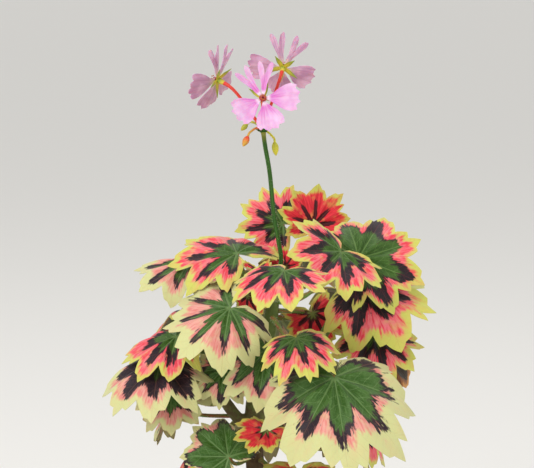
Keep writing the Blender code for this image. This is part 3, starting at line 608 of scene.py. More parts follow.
# Each leaf: its age; where its stalk ends, in mm; the way it faces round the plant, how far it
# leans from level and how its middle vein turns, in degrees; the vein's length in mm; how far its
# tip, left and right sides droop and its halves fold, in degrees; and the branch that its stalk
# leaves, and where along it
Leaf = namedtuple(
    "Leaf", "age x y z faces lean turn size tip left right fold branch share wave",
    defaults=(RIM_WAVE,),
)
YOUNG, GROWN, PALE, WITHERED = "young", "grown", "pale", "withered"
LEAVES = (
    Leaf(GROWN, 8, 30, 249, -90, 62, -118, 25, 5, 5, 20, 5, "back", 1.0),
    Leaf(YOUNG, 24, 25, 249, -95, 75, 174, 22, -10, -25, -25, 10, "trunk", 0.95, 0.05),
    Leaf(GROWN, 36, -26, 243, -35, 42, -72, 31, 30, 0, 25, 10, "trunk", 0.9),
    Leaf(GROWN, 45, -15, 238, -80, 54, 108, 36, 10, 68, 45, 5, "trunk", 0.96, 0.05),
    Leaf(GROWN, 8, -53, 238, -95, 12, -24, 29, 45, 5, 32, 0, "trunk", 0.92),
    Leaf(GROWN, -15, -6, 239, -110, 20, -113, 36, -5, 45, 66, 5, "trunk", 0.93),
    Leaf(PALE, -39, 10, 232, -115, 15, -80, 31, 10, 80, 60, 0, "trunk", 0.87, 0.05),
    Leaf(PALE, -18, -37, 217, -100, 36, -41, 36, 30, 90, 20, -5, "trunk", 0.78),
    Leaf(YOUNG, -5, -17, 233, -90, 25, 0, 11, -80, -80, -80, 0, "trunk", 0.99),
    Leaf(YOUNG, -10, -12, 219, -60, 60, 20, 14, 0, 0, 0, 20, "trunk", 0.9),
    Leaf(YOUNG, 23, 10, 206, -90, 75, 30, 20, 0, 10, 10, 10, "trunk", 0.86),
    Leaf(GROWN, 46, -9, 224, -65, 32, 58, 41, 5, 20, 110, -5, "right", 0.95),
    Leaf(GROWN, 54, -5, 198, -80, 36, 5, 29, 30, 22, 35, 0, "right", 0.65),
    Leaf(GROWN, 14, -51, 205, -85, 22, 12, 26, 45, 38, 72, 0, "trunk", 0.84),
    Leaf(GROWN, -45, -17, 199, -110, 22, -66, 31, 35, 60, 72, 0, "left", 1.0),
    Leaf(PALE, -53, -15, 187, -105, 24, -30, 38, 40, 35, 62, -5, "left", 0.85),
    Leaf(PALE, -48, -10, 172, -100, 52, 5, 25, 30, 30, 60, 0, "left", 0.5),
    Leaf(PALE, -21, -16, 183, -90, 62, -8, 21, 30, 50, 40, 0, "trunk", 0.72),
    Leaf(PALE, 0, -28, 194, -95, 50, -8, 31, 35, 70, 45, 0, "front", 0.95),
    Leaf(PALE, 32, -57, 187, -88, 40, 6, 51, 30, 58, 72, 0, "right", 0.5),
    Leaf(PALE, -19, -32, 142, -100, 60, -128, 27, 20, 35, 110, 5, "front", 0.3),
    Leaf(YOUNG, 0, -31, 155, -90, 22, -30, 18, 10, 10, 10, 15, "front", 0.6),
    Leaf(YOUNG, 16, -30, 133, -90, 35, 0, 28, 20, 40, 40, 5, "front", 0.2),
    Leaf(WITHERED, 61, 14, 182, -60, 70, 15, 26, 40, 90, 90, 10, "right", 0.4, 0.10),
    Leaf(PALE, -52, 6, 171, -110, 65, -10, 23, 20, 40, 40, 0, "left", 0.4),
    Leaf(YOUNG, 9, 7, 230, -90, 70, 180, 11, -20, -30, -30, 10, "trunk", 0.97),
    Leaf(GROWN, 18, 46, 230, 70, 30, 10, 30, 20, 45, 45, 0, "back", 0.97),
    Leaf(GROWN, -13, 47, 221, 110, 32, -10, 31, 25, 50, 50, 0, "back", 0.9),
    Leaf(GROWN, 42, 30, 212, 40, 40, 5, 32, 25, 50, 50, 0, "back", 0.8, 0.05),
    Leaf(GROWN, -42, 30, 204, 135, 40, 0, 30, 25, 50, 50, 0, "back", 0.75),
    Leaf(PALE, 6, 56, 196, 88, 45, 8, 32, 25, 45, 55, 0, "back", 0.85, 0.05),
    Leaf(PALE, 42, 44, 170, 40, 50, -10, 28, 30, 55, 55, 0, "back", 0.5),
    Leaf(PALE, -58, 41, 178, 147, 42, 5, 26, 35, 55, 55, 0, "left", 0.8),
    Leaf(PALE, 13, 59, 164, 75, 50, 10, 28, 25, 50, 50, 0, "back", 0.6),
    Leaf(PALE, -31, 51, 173, 118, 50, -8, 29, 25, 55, 50, 0, "back", 0.55, 0.05),
    Leaf(PALE, -48, 26, 154, 155, 50, 10, 23, 30, 55, 55, 0, "back", 0.3),
    Leaf(PALE, 0, 52, 138, 85, 50, 0, 27, 30, 50, 50, 0, "back", 0.35),
    Leaf(GROWN, 40, 34, 138, 45, 48, 12, 28, 30, 50, 50, 0, "right", 0.3),
    Leaf(PALE, -30, 34, 136, 130, 50, -12, 25, 30, 50, 50, 0, "back", 0.25),
    Leaf(GROWN, 47, 0, 152, -5, 45, 0, 27, 30, 50, 50, 0, "right", 0.2),
    Leaf(GROWN, -36, 8, 136, 175, 45, 10, 25, 30, 50, 50, 0, "left", 0.2),
)

# How far the green and the dark zone reach along the veins and between them, as shares of the
# leaf's size, how narrow the dark zone runs along the veins, how wide the yellow margin is, and
# how much of the edge has dried brown
Look = namedtuple("Look", "green between dark dark_between narrow margin burnt")
AGE_LOOKS = {
    YOUNG: Look(0.16, 0.08, 0.66, 0.20, 2.2, 0.075, 0.0),
    GROWN: Look(0.38, 0.26, 0.68, 0.40, 1.3, 0.068, 0.0),
    PALE: Look(0.55, 0.26, 0.70, 0.30, 1.8, 0.13, 0.1),
    WITHERED: Look(0.40, 0.20, 0.70, 0.40, 1.0, 0.08, 0.5),
}
LEAF_LOOKS = {
    2: Look(0.02, 0.01, 0.56, 0.20, 1.7, 0.07, 0.0),
    4: Look(0.60, 0.44, 0.80, 0.50, 1.2, 0.072, 0.0),
    6: Look(0.46, 0.28, 0.70, 0.34, 1.5, 0.075, 0.0),
    7: Look(0.58, 0.30, 0.76, 0.34, 1.6, 0.12, 0.1),
    8: Look(0.56, 0.24, 0.74, 0.27, 2.0, 0.15, 0.12),
    12: Look(0.30, 0.22, 0.62, 0.42, 1.0, 0.11, 0.0),
    13: Look(0.28, 0.18, 0.72, 0.44, 1.3, 0.10, 0.05),
    14: Look(0.42, 0.28, 0.70, 0.38, 1.4, 0.085, 0.0),
    16: Look(0.34, 0.24, 0.68, 0.52, 0.9, 0.12, 0.05),
    17: Look(0.55, 0.40, 0.70, 0.44, 1.0, 0.12, 0.45),
    18: Look(0.60, 0.36, 0.74, 0.42, 1.0, 0.12, 0.35),
    19: Look(0.62, 0.40, 0.76, 0.44, 1.0, 0.12, 0.2),
    20: Look(0.50, 0.38, 0.73, 0.44, 0.9, 0.17, 0.2),
    21: Look(0.72, 0.56, 0.82, 0.60, 0.8, 0.09, 0.15),
    22: Look(0.24, 0.12, 0.42, 0.16, 2.4, 0.10, 0.0),
    23: Look(0.26, 0.14, 0.40, 0.18, 2.0, 0.11, 0.0),
}
GREEN_VARIES = (0.85, 1.12)
DARK_VARIES = (0.84, 1.10)
LEAST_DARK = 0.02
NOTCH_GREEN = 0.10
NOTCH_DARK = 0.12
MARGIN_WIDTHS = (1.25, 0.55)
BURNT_WIDTH = 0.08
PATTERN_STEP = 7.3


def leaf_axes(leaf):
    """The blade's three directions: along its middle vein, to its right side and off its face."""
    faces, lean, turn = (math.radians(a) for a in (leaf.faces, leaf.lean, leaf.turn))
    outward = Vector((math.cos(faces), math.sin(faces), 0.0))
    up = Vector((0.0, 0.0, 1.0))
    face = outward * math.sin(lean) + up * math.cos(lean)
    downhill = outward * math.cos(lean) - up * math.sin(lean)
    along = downhill * math.cos(turn) + face.cross(downhill) * math.sin(turn)
    return along, along.cross(face), face


def bent(leaf, axes, angle, reach):
    """Where points of the flat blade lie on the bent one. The angles are in radians off the middle
    vein, to the right, and the reach in mm from the stalk, both as arrays."""
    along, side, face = (np.array(axis) for axis in axes)
    share = np.maximum(np.cos(angle), 0.0) ** 2
    droop = np.radians(np.where(angle > 0, leaf.right, leaf.left))
    curl = (math.radians(leaf.tip) * share + droop * (1 - share)) / leaf.size
    curl = np.where(np.abs(curl) < 1e-6, 1e-6, curl)
    start = -math.radians(leaf.fold) * np.sin(angle) ** 2
    out = (np.sin(start + curl * reach) - np.sin(start)) / curl
    down = (np.cos(start) - np.cos(start + curl * reach)) / curl
    t = reach / leaf.size
    lift = leaf.size * leaf.wave * t * t * np.sin(3 * angle + leaf.x)
    middle = np.array((leaf.x, leaf.y, leaf.z), float)
    return (
        middle
        + (along * np.cos(angle)[..., None] + side * np.sin(angle)[..., None]) * out[..., None]
        + face * (lift - down)[..., None]
    )


def leaf_outline(seed):
    """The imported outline, left to right, as (angle in degrees, share of the size)."""
    draw = random.Random(seed)
    whole = []
    for sign in (-1, 1):
        half = []
        for angle, share in HALF_OUTLINE[1:]:
            turn = draw.uniform(-ANGLE_JITTER, ANGLE_JITTER)
            grow = 1 + draw.uniform(-OUTLINE_JITTER, OUTLINE_JITTER)
            half.append((sign * (angle + turn), share * grow))
        whole.append(half)
    return [*reversed(whole[0]), HALF_OUTLINE[0], *whole[1]]


def toothed_outline(leaf, outline, draw):
    """The outline with a small tooth on each bare edge, as angles and reaches in mm."""
    places = []
    for angle, share in outline:
        turn = math.radians(angle)
        places.append(Vector((math.sin(turn), math.cos(turn))) * share * leaf.size)
    corners = [places[0]]
    for number, (a, b) in enumerate(zip(places, places[1:])):
        if number in BARE_EDGES:
            edge = b - a
            out = Vector((-edge.y, edge.x))
            tooth = draw.uniform(*TOOTH_PLACE)
            teeth = [
                (tooth, draw.uniform(*TOOTH_RISE)),
                (tooth + TOOTH_WIDTH, draw.uniform(*NOTCH_RISE)),
            ]
            if outline[number + 1][1] <= outline[number][1]:
                teeth = [(1 - at, rise) for at, rise in reversed(teeth)]
            corners += [a + edge * at + out * rise for at, rise in teeth]
        corners.append(b)
    angles, reaches = [], []
    for a, b in zip(corners, corners[1:]):
        edge = b - a
        out = Vector((-edge.y, edge.x))
        steps = max(2, round(edge.length / OUTLINE_STEP))
        for k in range(steps):
            u = k / steps
            point = a + edge * u + out * EDGE_BULGE * 4 * u * (1 - u)
            angles.append(math.atan2(point.x, point.y))
            reaches.append(point.length)
    angles.append(math.radians(outline[-1][0]))
    reaches.append(corners[-1].length)
    for k in range(1, len(angles)):
        angles[k] = max(angles[k], angles[k - 1] + LEAST_TURN)
    return np.array(angles), np.array(reaches)


def edge_distance(points, outline):
    """The distance in mm from each flat point to the blade's edge, its notch included."""
    loop = np.vstack([outline, [[0.0, 0.0]], outline[:1]])
    best = np.full(points.shape[:-1], np.inf)
    for a, b in zip(loop, loop[1:]):
        edge = b - a
        length = max(edge @ edge, 1e-9)
        t = np.clip((points - a) @ edge / length, 0, 1)
        best = np.minimum(best, np.linalg.norm(points - a - t[..., None] * edge, axis=-1))
    return best


def lobe_marks(look, outline, angles, draw):
    """For each ray of the blade: how far over it lies from a vein to the next cut, where its green
    and its dark zone end, as shares of the size, and how far its lobe's tip curls."""
    tips = [math.radians(outline[k][0]) for k in LOBE_TIPS]
    cuts = [math.radians(outline[k][0]) for k in LOBE_CUTS]
    ends = [math.radians(outline[k][0]) for k in (0, -1)]
    stops = sorted([(a, 0.0) for a in tips] + [(a, 1.0) for a in (*cuts, *ends)])
    over = np.interp(angles, *zip(*stops))
    lobe = np.searchsorted(cuts, angles)
    tip_share = np.array([outline[k][1] for k in LOBE_TIPS])
    greens = look.green * tip_share * [draw.uniform(*GREEN_VARIES) for _ in tips]
    darks = look.dark * tip_share * [draw.uniform(*DARK_VARIES) for _ in tips]
    darks = np.maximum(darks, greens + LEAST_DARK)
    by_notch = np.abs(angles) > np.abs(np.where(angles > 0, tips[-1], tips[0]))
    low_green = np.where(by_notch, NOTCH_GREEN, look.between)
    low_dark = np.where(by_notch, NOTCH_DARK, look.dark_between)
    near_vein = np.cos(math.pi / 2 * over)
    green_end = low_green + (greens[lobe] - low_green) * near_vein ** (0.7 + look.narrow)
    dark_end = low_dark + (darks[lobe] - low_dark) * near_vein ** (2 * look.narrow)
    curls = np.array([draw.uniform(*CURL_VARIES) for _ in tips])[lobe] * (1 - over**2)
    return over, green_end, dark_end, curls


def thin_shell(front, border, count):
    """The back and the rim of a thin shell, whose back repeats the front's points, count on."""
    back = [tuple(count + point for point in (face[0], *face[:0:-1])) for face in front]
    rim = [(a, b, count + b, count + a) for a, b in zip(border, border[1:])]
    return back, rim


def blade_part(leaf, number, finish, back_finish):
    """The blade, with a face and a back a thickness apart. Its marks are, for the material: zones,
    how far a point lies past the green and the dark zone and from the edge, as shares of the
    size; ray, its angle, its reach in mm and a number of the leaf's own; flat, its place on the
    flat leaf in mm; and vein, how far over it lies from a vein to the next cut, how burnt it is
    and its share of the way out."""
    draw = random.Random(1000 + number)
    look = LEAF_LOOKS.get(number, AGE_LOOKS[leaf.age])
    axes = leaf_axes(leaf)
    outline = leaf_outline(number)
    angles, reaches = toothed_outline(leaf, outline, draw)
    over, green_end, dark_end, curls = lobe_marks(look, outline, angles, draw)

    # The face: bent, pleated between the veins, curled at the tips and rippled along the rim
    rays = len(angles)
    ring = 1 - (1 - np.arange(1, BLADE_RINGS + 1) / BLADE_RINGS) ** RINGS_TOWARDS_RIM
    reach = reaches[:, None] * ring
    angle = np.repeat(angles[:, None], BLADE_RINGS, axis=1)
    x = reach / leaf.size / PLEAT_REACH
    fade = np.interp(np.abs(angle), np.radians(PLEAT_FADE), (1, 0))
    pleat = -PLEAT * x * np.exp((1 - x * x) / 2) * np.cos(math.pi * over)[:, None] * fade
    tip_curl = -TIP_CURL * curls[:, None] * np.interp(ring, (TIP_CURL_FROM, 1), (0, 1)) ** 2
    ripple = RIM_RIPPLE * ring**4 * np.sin(RIM_RIPPLES * angle + number)
    face = np.array(axes[2])
    raised = leaf.size * (pleat + tip_curl + ripple)
    upper = bent(leaf, axes, angle, reach) + face * raised[..., None]

    # The back: a thickness under the face, thinner towards the rim
    normal = np.cross(np.gradient(upper, axis=0), np.gradient(upper, axis=1))
    normal /= np.maximum(np.linalg.norm(normal, axis=2, keepdims=True), 1e-9)
    thick = BLADE_THICKNESS + (RIM_THICKNESS - BLADE_THICKNESS) * ring**3
    lower = upper - normal * thick[:, None]
    middle = np.array((leaf.x, leaf.y, leaf.z), float)
    under_middle = middle - face * BLADE_THICKNESS
    points = np.vstack([middle, upper.reshape(-1, 3), under_middle, lower.reshape(-1, 3)])

    top = []
    for ray in range(rays - 1):
        a, b = ray * BLADE_RINGS, (ray + 1) * BLADE_RINGS
        top.append((0, b + 1, a + 1))
        top += [(a + k, b + k, b + k + 1, a + k + 1) for k in range(1, BLADE_RINGS)]
    last = rays * BLADE_RINGS
    border = [*range(BLADE_RINGS), *range(BLADE_RINGS, last, BLADE_RINGS)]
    border += [*range(last, last - BLADE_RINGS, -1), 0]
    under, rim = thin_shell(top, border, 1 + last)

    def marked(centre, *values):
        side = np.stack(np.broadcast_arrays(*values), axis=-1).reshape(-1, 3)
        return np.vstack([centre, side, centre, side]).tolist()

    flat = np.stack([reach * np.sin(angle), reach * np.cos(angle)], axis=2)
    edge = np.stack([reaches * np.sin(angles), reaches * np.cos(angles)], axis=1)
    margin = edge_distance(flat, edge) / leaf.size
    margin_width = look.margin * np.interp(over, (0, 1), MARGIN_WIDTHS)[:, None]
    burnt = look.burnt * np.clip(1 - margin / BURNT_WIDTH, 0, 1) * np.cos(angle / 2) ** 2
    share = reach / leaf.size
    zones = share - green_end[:, None], share - dark_end[:, None], margin - margin_width
    own = number * PATTERN_STEP
    marks = {
        "zones": marked((-look.green, -look.dark, 0.0), *zones),
        "ray": marked((0, 0, own), angle, reach, own),
        "flat": marked((0, 0, own), flat[..., 0], flat[..., 1], own),
        "vein": marked((0, 0, 0), over[:, None], burnt, ring),
    }
    finishes = [finish] * len(top) + [back_finish] * (len(under) + len(rim))
    return Part(points.tolist(), top + under + rim, finishes, marks)


# Leaf blade: soft, moist and downy, so it is nearly matt, light comes through it a little, and the
# eye sees its veins as sunk pale lines on the face and as ribs on the duller back. The patterns
# are sized in mm, and the streaks by how many there are in a radian round the stalk and in a mm
# out from it. The net of small veins is drawn coarser than the real one, so that it shows.
VEIN_WIDTH = 0.35
SIDE_VEIN_SPACING = 5.0
VEIN_NET = 1.7
LEAF_PATCH = 4.545
LEAF_SPECK = 0.625
BROAD_STREAKS = (6.0, 0.07)
FINE_STREAKS = (24.0, 0.16)
VEIN_OFFSET = 0.34
Paint = namedtuple("Paint", "green streak vein dark flush outer deep margin tinge rib")
PAINTS = {
    YOUNG: "4d5a22 75823a a9b062 3c1015 96181f ea3440 cb1b2c cac85a e0784e 96181f",
    GROWN: "2e5209 52772f 86a45c 1d1118 55202c ef7880 e63c4e cccd60 e3a068 b5444a",
    PALE: "31580d 5f8243 90ac6e 241620 5a3338 e6a294 dd8078 cfcf90 dcc08c c98a6a",
    WITHERED: "5a5a26 7d6d34 94804a 2e2418 4a3420 8a5226 5f3818 c98a3a a5702c 4a3018",
}


def streaks(tree, mark, scale, detail):
    """Streaks along a piece: how many there are in a unit across it and in a mm along it, and how
    finely they break up."""
    stretched = add(tree, "VectorMath MULTIPLY", mark, (*scale, 1.0))
    return add(tree, "TexNoise", stretched, 1.0, detail)


def leaf_material(age, under):
    paint = Paint(*[linear(code) for code in PAINTS[age].split()])
    made, tree, shader = new_material(
        age + ("_leaf_back" if under else "_leaf_face"),
        Roughness=0.62 if under else 0.5, Specular_IOR_Level=0.28,
        Subsurface_Weight=0.12, Subsurface_Scale=0.5 * MM, Subsurface_Radius=(1.0, 0.5, 0.25),
        Sheen_Weight=0.08, Sheen_Roughness=0.5,
    )
    zones, ray, flat, vein = (
        add(tree, "Attribute", attribute_name=mark) for mark in ("zones", "ray", "flat", "vein")
    )
    past_green, past_dark, past_margin = add(tree, "SeparateXYZ", zones).node.outputs
    over, burnt, ring = add(tree, "SeparateXYZ", vein).node.outputs
    reach = add(tree, "SeparateXYZ", ray).node.outputs["Y"]

    # Streaks that run out from the stalk, broad and fine, and patches and specks of any direction
    broad = streaks(tree, ray, BROAD_STREAKS, 3.0)
    fine = streaks(tree, ray, FINE_STREAKS, 4.0)
    patch = add(tree, "TexNoise", flat, 1 / LEAF_PATCH, 4.0)
    speck = add(tree, "TexNoise", flat, 1 / LEAF_SPECK, 4.0)
    ragged = add(tree, "Math MULTIPLY_ADD", broad, 0.44, -0.22)
    ragged = add(tree, "Math ADD", ragged, add(tree, "Math MULTIPLY_ADD", fine, 0.34, -0.17))
    ragged = add(tree, "Math ADD", ragged, add(tree, "Math MULTIPLY_ADD", patch, 0.12, -0.06))

    # Coral or salmon with deeper streaks, then over it the margin, the dark zone and the green
    streak = add(tree, "MapRange SMOOTHSTEP", fine, 0.4, 0.64)
    outer = add(tree, "Mix RGBA", streak, paint.outer, paint.deep)
    washed = add(tree, "MapRange SMOOTHSTEP", patch, 0.5, 0.75, 0.0, 0.4)
    outer = add(tree, "Mix RGBA", washed, outer, paint.margin)
    edge = add(tree, "Math MULTIPLY_ADD", ragged, 0.42, past_margin)
    margin = add(tree, "MapRange SMOOTHSTEP", edge, -0.03, 0.035, 1.0, 0.0)
    tinge = add(tree, "MapRange SMOOTHSTEP", broad, 0.4, 0.75, 0.0, 0.4)
    tinged = add(tree, "Mix RGBA", tinge, paint.margin, paint.tinge)
    edge = add(tree, "Math ADD", past_dark, ragged)
    dark = add(tree, "MapRange SMOOTHSTEP", edge, -0.03, 0.02, 1.0, 0.0)
    streak = add(tree, "MapRange SMOOTHSTEP", fine, 0.5, 0.72, 0.0, 0.3)
    flushed = add(tree, "Mix RGBA", streak, paint.dark, paint.flush)
    edge = add(tree, "Math MULTIPLY_ADD", ragged, 0.8, past_green)
    green = add(tree, "MapRange SMOOTHSTEP", edge, -0.05, 0.03, 1.0, 0.0)
    streak = add(tree, "MapRange SMOOTHSTEP", fine, 0.5, 0.68, 0.0, 0.75)
    frost = add(tree, "MapRange SMOOTHSTEP", edge, -0.22, -0.04, 0.0, 0.35)
    lit = add(tree, "Math MAXIMUM", streak, frost)
    frosted = add(tree, "Mix RGBA", lit, paint.green, paint.streak)
    colour = outer
    for zone, zone_colour in ((margin, tinged), (dark, flushed), (green, frosted)):
        colour = add(tree, "Mix RGBA", zone, colour, zone_colour)

    # Veins: one down each lobe, thinner ones leaving it in pairs, and a fine net between them
    off_vein = add(tree, "Math MULTIPLY", add(tree, "Math MULTIPLY", over, reach), VEIN_OFFSET)
    width = add(tree, "Math MULTIPLY_ADD", ring, -VEIN_WIDTH, 1.15 * VEIN_WIDTH)
    off_vein = add(tree, "Math SUBTRACT", off_vein, width)
    main_vein = add(tree, "MapRange SMOOTHSTEP", off_vein, -0.15, 0.2, 1.0, 0.0)
    nearer = add(tree, "Math MULTIPLY_ADD", over, -VEIN_OFFSET, 1.0)
    along = add(tree, "Math MULTIPLY", reach, nearer)
    wander = add(tree, "Math MULTIPLY", patch, 0.5)
    along = add(tree, "Math MULTIPLY_ADD", along, 1 / SIDE_VEIN_SPACING, wander)
    beside = add(tree, "Math PINGPONG", along, 0.5)
    side_vein = add(tree, "MapRange SMOOTHSTEP", beside, 0.0, 0.06, 0.7, 0.0)
    net = add(tree, "TexVoronoi DISTANCE_TO_EDGE", flat, 1 / VEIN_NET)
    net = add(tree, "MapRange SMOOTHSTEP", net, 0.0, 0.08, 0.28, 0.0)
    veins = add(tree, "Math MAXIMUM", main_vein, add(tree, "Math MAXIMUM", side_vein, net))
    vein_colour = add(tree, "Mix RGBA", green, paint.rib, paint.vein)
    on_colour, on_green = (0.45, 0.7) if under else (0.12, 0.36)
    shown = add(tree, "MapRange", green, 0.0, 1.0, on_colour, on_green)
    colour = add(tree, "Mix RGBA", add(tree, "Math MULTIPLY", veins, shown), colour, vein_colour)

    # The edges of old leaves dry to a burnt brown, and every back is paler than its face
    scorch = add(tree, "Math ADD", burnt, add(tree, "Math MULTIPLY_ADD", patch, 0.8, -0.4))
    scorch = add(tree, "MapRange SMOOTHSTEP", scorch, 0.35, 0.6)
    scorched = add(tree, "Mix RGBA", speck, linear("6b3f1c"), linear("c08238"))
    colour = add(tree, "Mix RGBA", scorch, colour, scorched)
    if under:
        colour = add(tree, "Mix RGBA", 0.42, colour, linear("bfc59c"))
    relief = add(tree, "Math MULTIPLY", veins, 1.0 if under else -1.0)
    surface(tree, shader, colour, 0.5, 0.25, add(tree, "Math MULTIPLY_ADD", speck, 0.35, relief))
    return made


LEAF_FACES = {age: leaf_material(age, False) for age in AGE_LOOKS}
LEAF_BACKS = {age: leaf_material(age, True) for age in AGE_LOOKS}

# Leaf stalk skin: juicy and downy, so the eye sees a soft green that light soaks into, flushed
# with red in long streaks
leaf_stalk, tree, shader = new_material(
    "downy_leaf_stalk", Roughness=0.55, Subsurface_Weight=0.15, Subsurface_Scale=MM,
)
mark = add(tree, "Attribute", attribute_name="ray")
flush = streaks(tree, mark, (0.6, 0.12), 3.0)
flush = add(tree, "MapRange SMOOTHSTEP", flush, 0.4, 0.65)
colour = add(tree, "Mix RGBA", flush, linear("6b8c3a"), linear("a85a3c"))
grain = streaks(tree, mark, (6.0, 2.0), 3.0)
surface(tree, shader, colour, 0.4, 0.1, grain)

# Down: short clear hairs, so the eye sees a pale fringe along each stalk
down, tree, shader = new_material(
    "pale_down", Roughness=0.6, Subsurface_Weight=0.3, Subsurface_Scale=0.3 * MM,
)
mark = add(tree, "Attribute", attribute_name="ray")
share = add(tree, "SeparateXYZ", mark).node.outputs["Z"]
colour = add(tree, "Mix RGBA", share, linear("aeb98a"), linear("eef0da"))
tree.links.new(colour, shader.inputs["Base Color"])

PETIOLE_RADIUS = 1.0
PETIOLE_ENDS = (1.15, 0.85)
PETIOLE_SIDES = 10
PETIOLE_STEPS = 24
PETIOLE_ARRIVE_ALONG = 0.35
PETIOLE_ARRIVE_FACE = 0.8
PETIOLE_ARRIVE_UP = 0.2
PETIOLE_LEAVE_SHARE = 0.4
PETIOLE_ARRIVE_SHARE = 0.3
FOOT_SWELLING = 0.35
FOOT_SWELLING_STEPS = 1.5
TOP_SWELLING = 0.2
TOP_SWELLING_STEPS = 1.2
HAIR_LENGTH = 0.9
HAIR_LENGTHS = (0.6, 1.1)
HAIR_LEANS = (-0.3, 0.6)
HAIR_RADIUS = 0.07
HAIR_SPACING = 0.55
HAIRS_ROUND = 1.6
HAIR_ROOT = 0.9


def bezier(handles, steps):
    """Points along the cubic curve with these four handles."""
    a, b, c, d = handles
    points = []
    for k in range(steps + 1):
        t = k / steps
        u = 1 - t
        points.append(a * u**3 + b * 3 * t * u**2 + c * 3 * t * t * u + d * t**3)
    return points


def socket_on(branch_name, share, towards):
    """Where a stalk that leaves this branch towards a point starts, and the way it leaves."""
    branch = BRANCHES[branch_name]
    middle, way = along_curve(branch.points, share)
    out = Vector(towards) - middle
    out = (out - way * out.dot(way)).normalized()
    return middle + out * mixed(branch.radii, share), out


def down_part(points, radii, draw, spacing=HAIR_SPACING, length=HAIR_LENGTH):
    """Short spikes that stand out from a stalk on all sides."""
    places, faces, marks = [], [], []
    for a, b, radius in zip(points, points[1:], radii):
        way = (b - a).normalized()
        across = way.orthogonal().normalized()
        count = round((b - a).length / spacing * HAIRS_ROUND)
        for _ in range(count):
            turn = draw.uniform(0, math.tau)
            out = Matrix.Rotation(turn, 3, way) @ across
            foot = a.lerp(b, draw.random()) + out * radius * HAIR_ROOT
            lean = (out + way * draw.uniform(*HAIR_LEANS)).normalized()
            tip = foot + lean * length * draw.uniform(*HAIR_LENGTHS)
            side = lean.orthogonal().normalized()
            first = len(places)
            for k in range(3):
                corner = Matrix.Rotation(math.tau * k / 3, 3, lean) @ side
                places.append(foot + corner * HAIR_RADIUS)
                marks.append((0.0, 0.0, 0.0))
            places.append(tip)
            marks.append((0.0, 0.0, 1.0))
            faces += [(first + k, first + (k + 1) % 3, first + 3) for k in range(3)]
    return Part(places, faces, [down] * len(faces), {"ray": marks})


def petiole_parts(leaf, number):
    """The leaf's stalk, swollen where it leaves the branch, with its down."""
    draw = random.Random(3000 + number)
    along, _, face = leaf_axes(leaf)
    foot = Vector((leaf.x, leaf.y, leaf.z)) - face * BLADE_THICKNESS
    start, out = socket_on(leaf.branch, leaf.share, foot)
    span = (foot - start).length
    arrive = along * PETIOLE_ARRIVE_ALONG + face * PETIOLE_ARRIVE_FACE
    arrive.z += PETIOLE_ARRIVE_UP
    handles = (
        start, start + out * span * PETIOLE_LEAVE_SHARE,
        foot - arrive.normalized() * span * PETIOLE_ARRIVE_SHARE, foot,
    )
    points = bezier(handles, PETIOLE_STEPS)
    radii = []
    for k in range(len(points)):
        swell = 1 + FOOT_SWELLING * math.exp(-k / FOOT_SWELLING_STEPS)
        swell += TOP_SWELLING * math.exp(-(PETIOLE_STEPS - k) / TOP_SWELLING_STEPS)
        radii.append(PETIOLE_RADIUS * mixed(PETIOLE_ENDS, k / PETIOLE_STEPS) * swell)
    return [
        stalk_part(points, radii, PETIOLE_SIDES, leaf_stalk, seed=number),
        down_part(points, radii, draw),
    ]


for number, leaf in enumerate(LEAVES, 1):
    parts = [blade_part(leaf, number, LEAF_FACES[leaf.age], LEAF_BACKS[leaf.age])]
    parts += petiole_parts(leaf, number)
    make_piece(f"leaf_blade_{number:02d}", parts, f"leaf_{number:02d}")


# Flower stalk. It is green, downy and faintly ridged, and swells into a knob where the flowers'
# own stalks leave it, with a ring of small pointed scales under them.
STALK_RADIUS = 1.1
STALK_STRAIGHT = 2.0
STALK_POINTS = ((7, -13, 236), (5.6, -13, 247), (3.4, -10, 259), (1.4, -6, 279), (-1, -3, 293))
STALK_STEPS = 48
STALK_SWELLING = 0.55
SWELLING_REACH = 5.0
KNOB = Vector((-2, -2, 301))
KNOB_RADIUS = 2.4
KNOB_ROWS = 8
KNOB_SOCKET = 0.9
SCALES = 6
SCALE_FOOT = 0.8
SCALE_DROP = Vector((0, 0, -1.0))
SCALE_STEP = 0.35
SCALE_RADII = (0.55, 0.6, 0.5, 0.38, 0.22, 0.06)

# Flower stalk skin: firm and waxy under its down, so the eye sees a dark, softly shining green in
# long streaks that yellows towards the knob
green_stalk, tree, shader = new_material(
    "green_flower_stalk", Roughness=0.55, Specular_IOR_Level=0.3,
    Subsurface_Weight=0.1, Subsurface_Scale=MM,
)
mark = add(tree, "Attribute", attribute_name="ray")
share = add(tree, "SeparateXYZ", mark).node.outputs["Z"]
streak = streaks(tree, mark, (1.2, 0.06), 4.0)
pale = add(tree, "MapRange SMOOTHSTEP", streak, 0.35, 0.7)
colour = add(tree, "Mix RGBA", pale, linear("1c4408"), linear("3b6a16"))
yellowed = add(tree, "MapRange SMOOTHSTEP", share, 0.9, 1.0, 0.0, 0.8)
colour = add(tree, "Mix RGBA", yellowed, colour, linear("a8a03a"))
surface(tree, shader, colour, 0.4, 0.12, streak)

